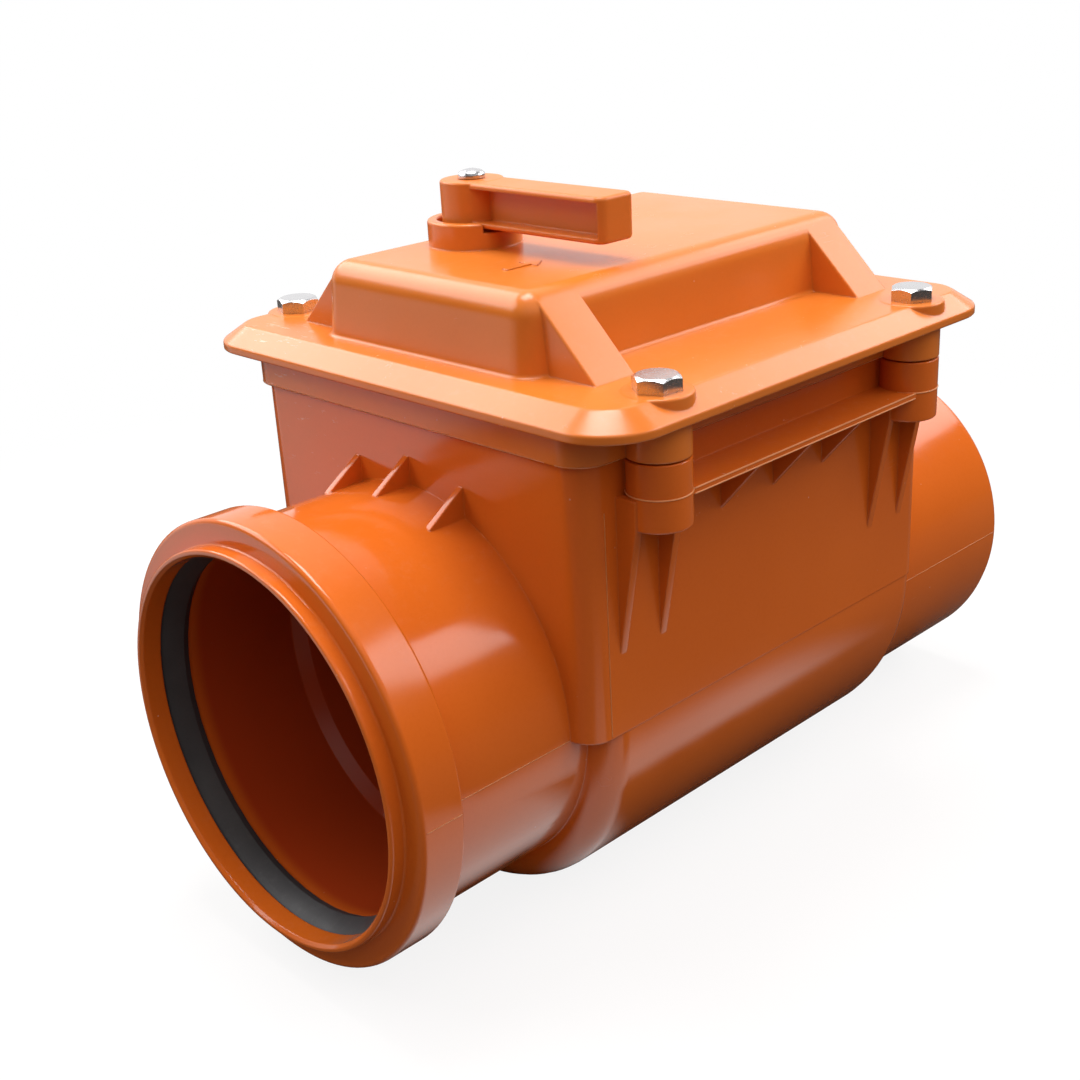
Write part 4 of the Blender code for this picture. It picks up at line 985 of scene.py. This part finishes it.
print("small parts dressed:", len(plainParts))


fastening = {
    "flats": 0.013, "headBottom": 0.1070, "headTop": 0.1119, "chamfer": 0.62, "faceRadius": 0.00595, "collar": 0.0003,
    "shank": 0.004, "shankBottom": 0.0655, "nutBottom": 0.0675, "nutTop": 0.0738, "sideSteps": 10,
    "turns": (55.0, 8.5, 31.0, 20.0), "nutTurn": 30.0,
}


def hexShape(low, high, chamferLow, chamferHigh, bore=0.0):
    # a hexagon whose corners are cut by a cone, so each flat ends in an arc
    s = fastening
    count = 6 * s["sideSteps"]
    half = s["flats"] / 2
    face = s["faceRadius"]
    turns = [math.tau * i / count for i in range(count)]
    reach = [half / math.cos((t % (math.pi / 3)) - math.pi / 6) for t in turns]

    def ring(radii, heights):
        return [(r * math.cos(t), r * math.sin(t), z) for t, r, z in zip(turns, radii, heights)]

    rings = []
    if chamferLow:
        rings.append(ring([face] * count, [low] * count))
        rings.append(ring(reach, [low + (r - face) * s["chamfer"] for r in reach]))
    else:
        rings.append(ring([face] * count, [low] * count))
        rings.append(ring([face] * count, [low + s["collar"]] * count))
        rings.append(ring(reach, [low + s["collar"]] * count))
    if chamferHigh:
        rings.append(ring(reach, [high - (r - face) * s["chamfer"] for r in reach]))
        rings.append(ring([face] * count, [high] * count))
    if bore:
        rings.append(ring([bore] * count, [high] * count))
        rings.append(ring([bore] * count, [low] * count))
        return ringStack(rings, closed=True)
    return ringStack(rings)


def buildFasteningTree(material):
    turns = [(f"Turn {i + 1}", "value", 0.0) for i in range(4)]
    tree, given, result = startShapeTree("fourFastenings", [
        ("Along Pitch", "value", 0.1), ("Across Pitch", "value", 0.1), ("Middle", "place", (0, 0, 0)),
    ] + turns)
    corners = shapeNode(tree, "GeometryNodeMeshGrid", [
        ("Size X", given["Along Pitch"]), ("Size Y", given["Across Pitch"]), ("Vertices X", 2), ("Vertices Y", 2),
    ])
    placed = shapeNode(tree, "GeometryNodeTransform", [("Geometry", corners.outputs["Mesh"]), ("Translation", given["Middle"])])
    index = shapeNode(tree, "GeometryNodeInputIndex")
    choice = shapeNode(tree, "GeometryNodeIndexSwitch", data_type="FLOAT")
    while len(choice.index_switch_items) < 4:
        choice.index_switch_items.new()
    tree.links.new(index.outputs[0], choice.inputs["Index"])
    for i in range(4):
        tree.links.new(given[f"Turn {i + 1}"], choice.inputs[i + 1])
    turn = shapeNode(tree, "ShaderNodeCombineXYZ", [("Z", choice.outputs[0])])
    copies = shapeNode(tree, "GeometryNodeInstanceOnPoints", [
        ("Points", placed.outputs[0]), ("Instance", given["Geometry"]), ("Rotation", turn.outputs[0]),
    ])
    return endShapeTree(tree, copies.outputs[0], material, result)


def buildFasteners():
    s = fastening
    xs, ys = [sorted({place[i] for place in bosses["places"]}) for i in (0, 1)]
    tree = buildFasteningTree(paints["zinc"])
    size = {"Along Pitch": xs[1] - xs[0], "Across Pitch": ys[1] - ys[0], "Middle": (sum(xs) / 2, sum(ys) / 2, 0.0)}
    head = hexShape(s["headBottom"], s["headTop"], False, True)
    shank = rodShape("Z", (0, 0, 0), s["shank"], s["shankBottom"], s["headBottom"] + 0.001, 32, edge=0.0006)
    bolts = newPiece("lidBolts", gatherShapes([head, shank]))
    growPiece(bolts, tree, size | {f"Turn {i + 1}": math.radians(turn) for i, turn in enumerate(s["turns"])})
    finishPiece(bolts, "valve", paints["zinc"], [f"lid_bolt_{i}" for i in (1, 2, 3, 4)], sharp=22, weighted=False)
    nuts = newPiece("lidNuts", hexShape(s["nutBottom"], s["nutTop"], True, True, s["shank"] + 0.0001))
    growPiece(nuts, tree, size | {f"Turn {i + 1}": math.radians(s["nutTurn"]) for i in range(4)})
    finishPiece(nuts, "valve", paints["zinc"], [f"lid_nut_{i}" for i in (1, 2, 3, 4)], sharp=22, weighted=False)


buildFasteners()
print("bolts and nuts built")


partingLine = {"fineRadius": 0.00013, "boldRadius": 0.00024, "sides": 8}


def buildLineTree(material):
    tree, given, result = startShapeTree("partingLines", [("Line Radius", "value", 0.0001), ("Sides", "count", 8)])
    path = shapeNode(tree, "GeometryNodeMeshToCurve", [("Mesh", given["Geometry"])])
    section = shapeNode(tree, "GeometryNodeCurvePrimitiveCircle", [("Resolution", given["Sides"]), ("Radius", given["Line Radius"])])
    tube = shapeNode(tree, "GeometryNodeCurveToMesh", [
        ("Curve", path.outputs[0]), ("Profile Curve", section.outputs[0]), ("Fill Caps", True),
    ])
    return endShapeTree(tree, tube.outputs[0], material, result)


def linePaths():
    # where the mould halves met, as fine lines and as bolder ones round the ledges and bosses
    half = chamber["half"]
    reach = half + ledge["reach"]
    rise = ledge["top"] - 0.0002
    paths = []
    bold = []
    for side in (-1, 1):
        r = bosses["radius"] + 0.00002
        for x, y in bosses["places"]:
            if y * side < 0:
                continue
            outer = -1 if x < 0.15 else 1
            start, end = (100, 348) if outer < 0 else (192, 440)
            if side > 0:
                start, end = -end, -start
            bold.append([(a, b, rise) for a, b in arcPoints(x, y, r, start, end, 36)])
        for height in (rise, ledge["bottom"] + 0.0002):
            bold.append([(x, side * reach, height) for x in (0.0931 + 0.0070, 0.2211 - 0.0070)])
        for sleeve, x0, x1 in ((socket["barrelRadius"], socket["beadEnd"] + socket["shoulder"] + 0.0006, chamber["front"] - 0.0002), (socket["beadRadius"], socket["lipLength"] + socket["beadRound"], socket["beadEnd"] - 0.0008)):
            paths.append([(x0, side * sleeve, 0.0), (x1, side * sleeve, 0.0)])
        paths.append([(chamber["rear"] + 0.0004, side * spigot["radius"], -spigot["drop"]), (spigot["end"] - spigot["chamfer"], side * spigot["radius"], -spigot["drop"])])
        paths.append([(chamber["front"] + chamber["corner"], side * half, z) for z in (0.0005, chamber["frameTop"] - 0.006)])
    rim = atHeight(chamberPlan(lidSizes["skirtFront"], lidSizes["skirtSide"], chamber["corner"] + lidSizes["skirtFront"]), lidSizes["bottom"] + 0.0005)
    clear = bosses["radius"] * 0.9
    run = []
    for a, b in zip(rim, rim[1:] + rim[:1]):
        steps = max(1, round((Vector(b) - Vector(a)).length / 0.004))
        for i in range(steps):
            point = Vector(a).lerp(Vector(b), i / steps)
            if min((point.xy - Vector(place)).length for place in bosses["places"]) > clear:
                run.append(tuple(point))
            elif run:
                paths.append(run)
                run = []
    paths.append(run)
    return {"fine": paths, "bold": bold}


def buildPartingLines(weight, paths):
    shape = bmesh.new()
    for path in paths:
        dots = [shape.verts.new(point) for point in path]
        for first, second in zip(dots, dots[1:]):
            shape.edges.new((first, second))
    lines = newPiece(weight + "PartingLines", shape)
    growPiece(lines, lineTree, {"Line Radius": partingLine[weight + "Radius"], "Sides": partingLine["sides"]})
    outward = bmesh.new()
    outward.from_mesh(lines.data)
    bmesh.ops.recalc_face_normals(outward, faces=outward.faces)
    outward.to_mesh(lines.data)
    outward.free()
    finishPiece(lines, "valve", paints["flashPlastic"], sharp=60, weighted=False)


# the parting lines wear the paler orange, a painted highlight
lineTree = buildLineTree(paints["flashPlastic"])
for weight, paths in linePaths().items():
    buildPartingLines(weight, paths)
print("parting lines built")


flowMark = {"x": 0.1085, "y": -0.0165, "length": 0.016, "head": 0.0060, "width": 0.0085, "stem": 0.0026, "height": 0.0004}


def buildFlowMark():
    # a plain raised arrow that points the way the water runs
    s = flowMark
    back, neck, tip = s["x"] - s["length"] / 2, s["x"] + s["length"] / 2 - s["head"], s["x"] + s["length"] / 2
    outline = [(back, -s["stem"] / 2), (neck, -s["stem"] / 2), (neck, -s["width"] / 2), (tip, 0), (neck, s["width"] / 2), (neck, s["stem"] / 2), (back, s["stem"] / 2)]
    plan = [(a, s["y"] + b) for a, b in outline]
    shape = softEdges(prismShape(plan, "Z", lidSizes["top"] - 0.0004, lidSizes["top"] + s["height"]), 0.00012)
    finishPiece(newPiece("flowArrow", shape), "valve", paints["lidPlastic"])


buildFlowMark()
print("flow arrow built")


studio = {
    "backdropSide": (0.52, 0.80, 0.24),
    "fillSide": (-0.14, -0.80, 0.58),
    "fillColour": (1.0, 0.80, 0.72),
    "fillLevel": 0.04, "fillLobe": 1.55, "lobeGloss": 0.40,
    "roomLevel": 0.04,
    "tableGloss": 1.1,
    "floorColour": (0.16, 0.148, 0.140),
    "dimColour": (0.06, 0.055, 0.05),
    "paperColour": (0.93, 0.93, 0.925),
    "floorGap": 0.0006,
    "shadowShare": 0.14,
    "aim": (0.157, 0.0, 0.05),
    "softboxes": [
        # name, place, width and height, watts
        ("rightSoftbox", (1.29, -0.60, 1.01), (1.6, 0.67), 12.5),
        ("leftSoftbox", (-0.32, 1.15, 1.08), (2.0, 0.85), 22.0),
        ("topSoftbox", (0.21, 0.16, 1.45), (0.75, 0.62), 16.5),
    ],
}


def buildStudio(options):
    # matt faces get an even fill, and gloss mirrors a dim room with a white backdrop behind the object
    scene = bpy.context.scene
    scene.view_settings.view_transform = "Standard"
    world = bpy.data.worlds.new("softStudio")
    scene.world = world
    world.use_nodes = True
    tree = world.node_tree
    tree.nodes.clear()
    output = tree.nodes.new("ShaderNodeOutputWorld")
    light = tree.nodes.new("ShaderNodeBackground")
    path = tree.nodes.new("ShaderNodeLightPath")
    place = addNode(tree, "TexCoord").outputs["Generated"]
    leans = []
    for side in ("backdropSide", "fillSide"):
        lean = addNode(tree, "VectorMath", operation="DOT_PRODUCT")
        tree.links.new(place, lean.inputs[0])
        lean.inputs[1].default_value = Vector(options[side]).normalized()
        leans.append(lean.outputs["Value"])
    split = addNode(tree, "SeparateXYZ")
    tree.links.new(place, split.inputs[0])
    lobe = mathOf(tree, "MULTIPLY", spread(tree, leans[1], 0.20, 0.98), spread(tree, split.outputs["Z"], 0.12, 0.65))
    fill = mathOf(tree, "MULTIPLY_ADD", lobe, options["fillLobe"], options["fillLevel"])
    gloss = spread(tree, leans[0], 0.30, 0.80, options["roomLevel"], 1.0)
    gloss = mathOf(tree, "MAXIMUM", gloss, mathOf(tree, "MULTIPLY", lobe, options["lobeGloss"]))
    level = spread(tree, path.outputs["Is Glossy Ray"], 0.0, 1.0, fill, gloss, smooth=False)
    clear = mathOf(tree, "MAXIMUM", path.outputs["Is Camera Ray"], path.outputs["Is Transmission Ray"])
    tree.links.new(mixColour(tree, path.outputs["Is Diffuse Ray"], (1, 1, 1, 1), (*options["fillColour"], 1)), light.inputs["Color"])
    tree.links.new(spread(tree, clear, 0.0, 1.0, level, 1.0, smooth=False), light.inputs["Strength"])
    tree.links.new(light.outputs[0], output.inputs[0])


def aimedLamp(name, place, target, size, power):
    lamp = bpy.data.lights.new(name, "AREA")
    lamp.shape = "RECTANGLE"
    lamp.size, lamp.size_y = size
    lamp.energy = power
    holder = bpy.data.objects.new(name, lamp)
    holder.location = place
    holder.rotation_euler = (Vector(target) - Vector(place)).to_track_quat("-Z", "Y").to_euler()
    bpy.context.scene.collection.objects.link(holder)
    return holder


def buildCamera():
    lens = bpy.data.cameras.new("photoCamera")
    lens.sensor_width = 36
    lens.lens = 50.54
    lens.clip_start = 0.02
    camera = bpy.data.objects.new("photoCamera", lens)
    camera.location = (-0.21212, -0.35569, 0.22912)
    camera.rotation_euler = (1.184913, 0.051442, -0.778930)
    bpy.context.scene.collection.objects.link(camera)
    bpy.context.scene.camera = camera


def buildFloor(options):
    # pale paper to the camera and in gloss behind the object, and a dim table for the light that bounces
    low = cadBox[0][2] - options["floorGap"]
    half = 3.0
    shape = bmesh.new()
    shape.faces.new([shape.verts.new((x, y, low)) for x, y in boxPlan(-half, half, -half, half)])
    floor = newPiece("floor", shape)
    material = bpy.data.materials.new("paleFloor")
    material.use_nodes = True
    tree = material.node_tree
    tree.nodes.clear()
    output = tree.nodes.new("ShaderNodeOutputMaterial")
    mix = tree.nodes.new("ShaderNodeMixShader")
    white = tree.nodes.new("ShaderNodeEmission")
    matt = tree.nodes.new("ShaderNodeBsdfDiffuse")
    path = tree.nodes.new("ShaderNodeLightPath")
    seen = path.outputs["Is Camera Ray"]
    place = addNode(tree, "TexCoord").outputs["Object"]
    split = addNode(tree, "SeparateXYZ")
    tree.links.new(place, split.inputs[0])
    far = addNode(tree, "VectorMath", operation="DISTANCE")
    tree.links.new(place, far.inputs[0])
    far.inputs[1].default_value = (options["aim"][0], options["aim"][1], low)
    share = spread(tree, far.outputs["Value"], 0.25, 0.60, options["shadowShare"], 0.0)
    strip = mathOf(tree, "MULTIPLY", spread(tree, split.outputs["Y"], -0.18, -0.13), spread(tree, split.outputs["Y"], -0.112, -0.098, 1.0, 0.0))
    strip = mathOf(tree, "MULTIPLY", strip, spread(tree, split.outputs["X"], 0.22, 0.32, 1.0, 0.0))
    near = mathOf(tree, "MULTIPLY", spread(tree, split.outputs["Y"], -0.36, -0.10), spread(tree, split.outputs["Y"], -0.06, -0.03, 1.0, 0.0))
    near = mathOf(tree, "MULTIPLY", near, spread(tree, split.outputs["X"], 0.100, 0.126, 1.0, 0.0))
    front = mathOf(tree, "MULTIPLY", mathOf(tree, "MAXIMUM", strip, near), spread(tree, split.outputs["X"], -0.02, 0.03))
    behind = mathOf(tree, "MULTIPLY", spread(tree, split.outputs["Y"], 0.08, 0.25), spread(tree, split.outputs["X"], -0.13, -0.06, 1.0, 0.0))
    gloss = path.outputs["Is Glossy Ray"]
    mirrored = mathOf(tree, "MULTIPLY", gloss, mathOf(tree, "MAXIMUM", front, behind))
    shown = mathOf(tree, "MAXIMUM", mathOf(tree, "MULTIPLY", seen, mathOf(tree, "SUBTRACT", 1.0, share)), mirrored)
    white.inputs["Color"].default_value = (1, 1, 1, 1)
    tree.links.new(spread(tree, seen, 0.0, 1.0, options["tableGloss"], 1.0, smooth=False), white.inputs["Strength"])
    table = mixColour(tree, gloss, (*options["floorColour"], 1), (*options["dimColour"], 1))
    tree.links.new(mixColour(tree, seen, table, (*options["paperColour"], 1)), matt.inputs["Color"])
    tree.links.new(shown, mix.inputs[0])
    tree.links.new(matt.outputs[0], mix.inputs[1])
    tree.links.new(white.outputs[0], mix.inputs[2])
    tree.links.new(mix.outputs[0], output.inputs[0])
    floor.data.materials.append(material)


buildStudio(studio)
buildCamera()
buildFloor(studio)
for name, place, size, power in studio["softboxes"]:
    aimedLamp(name, place, studio["aim"], size, power)
print("studio built")
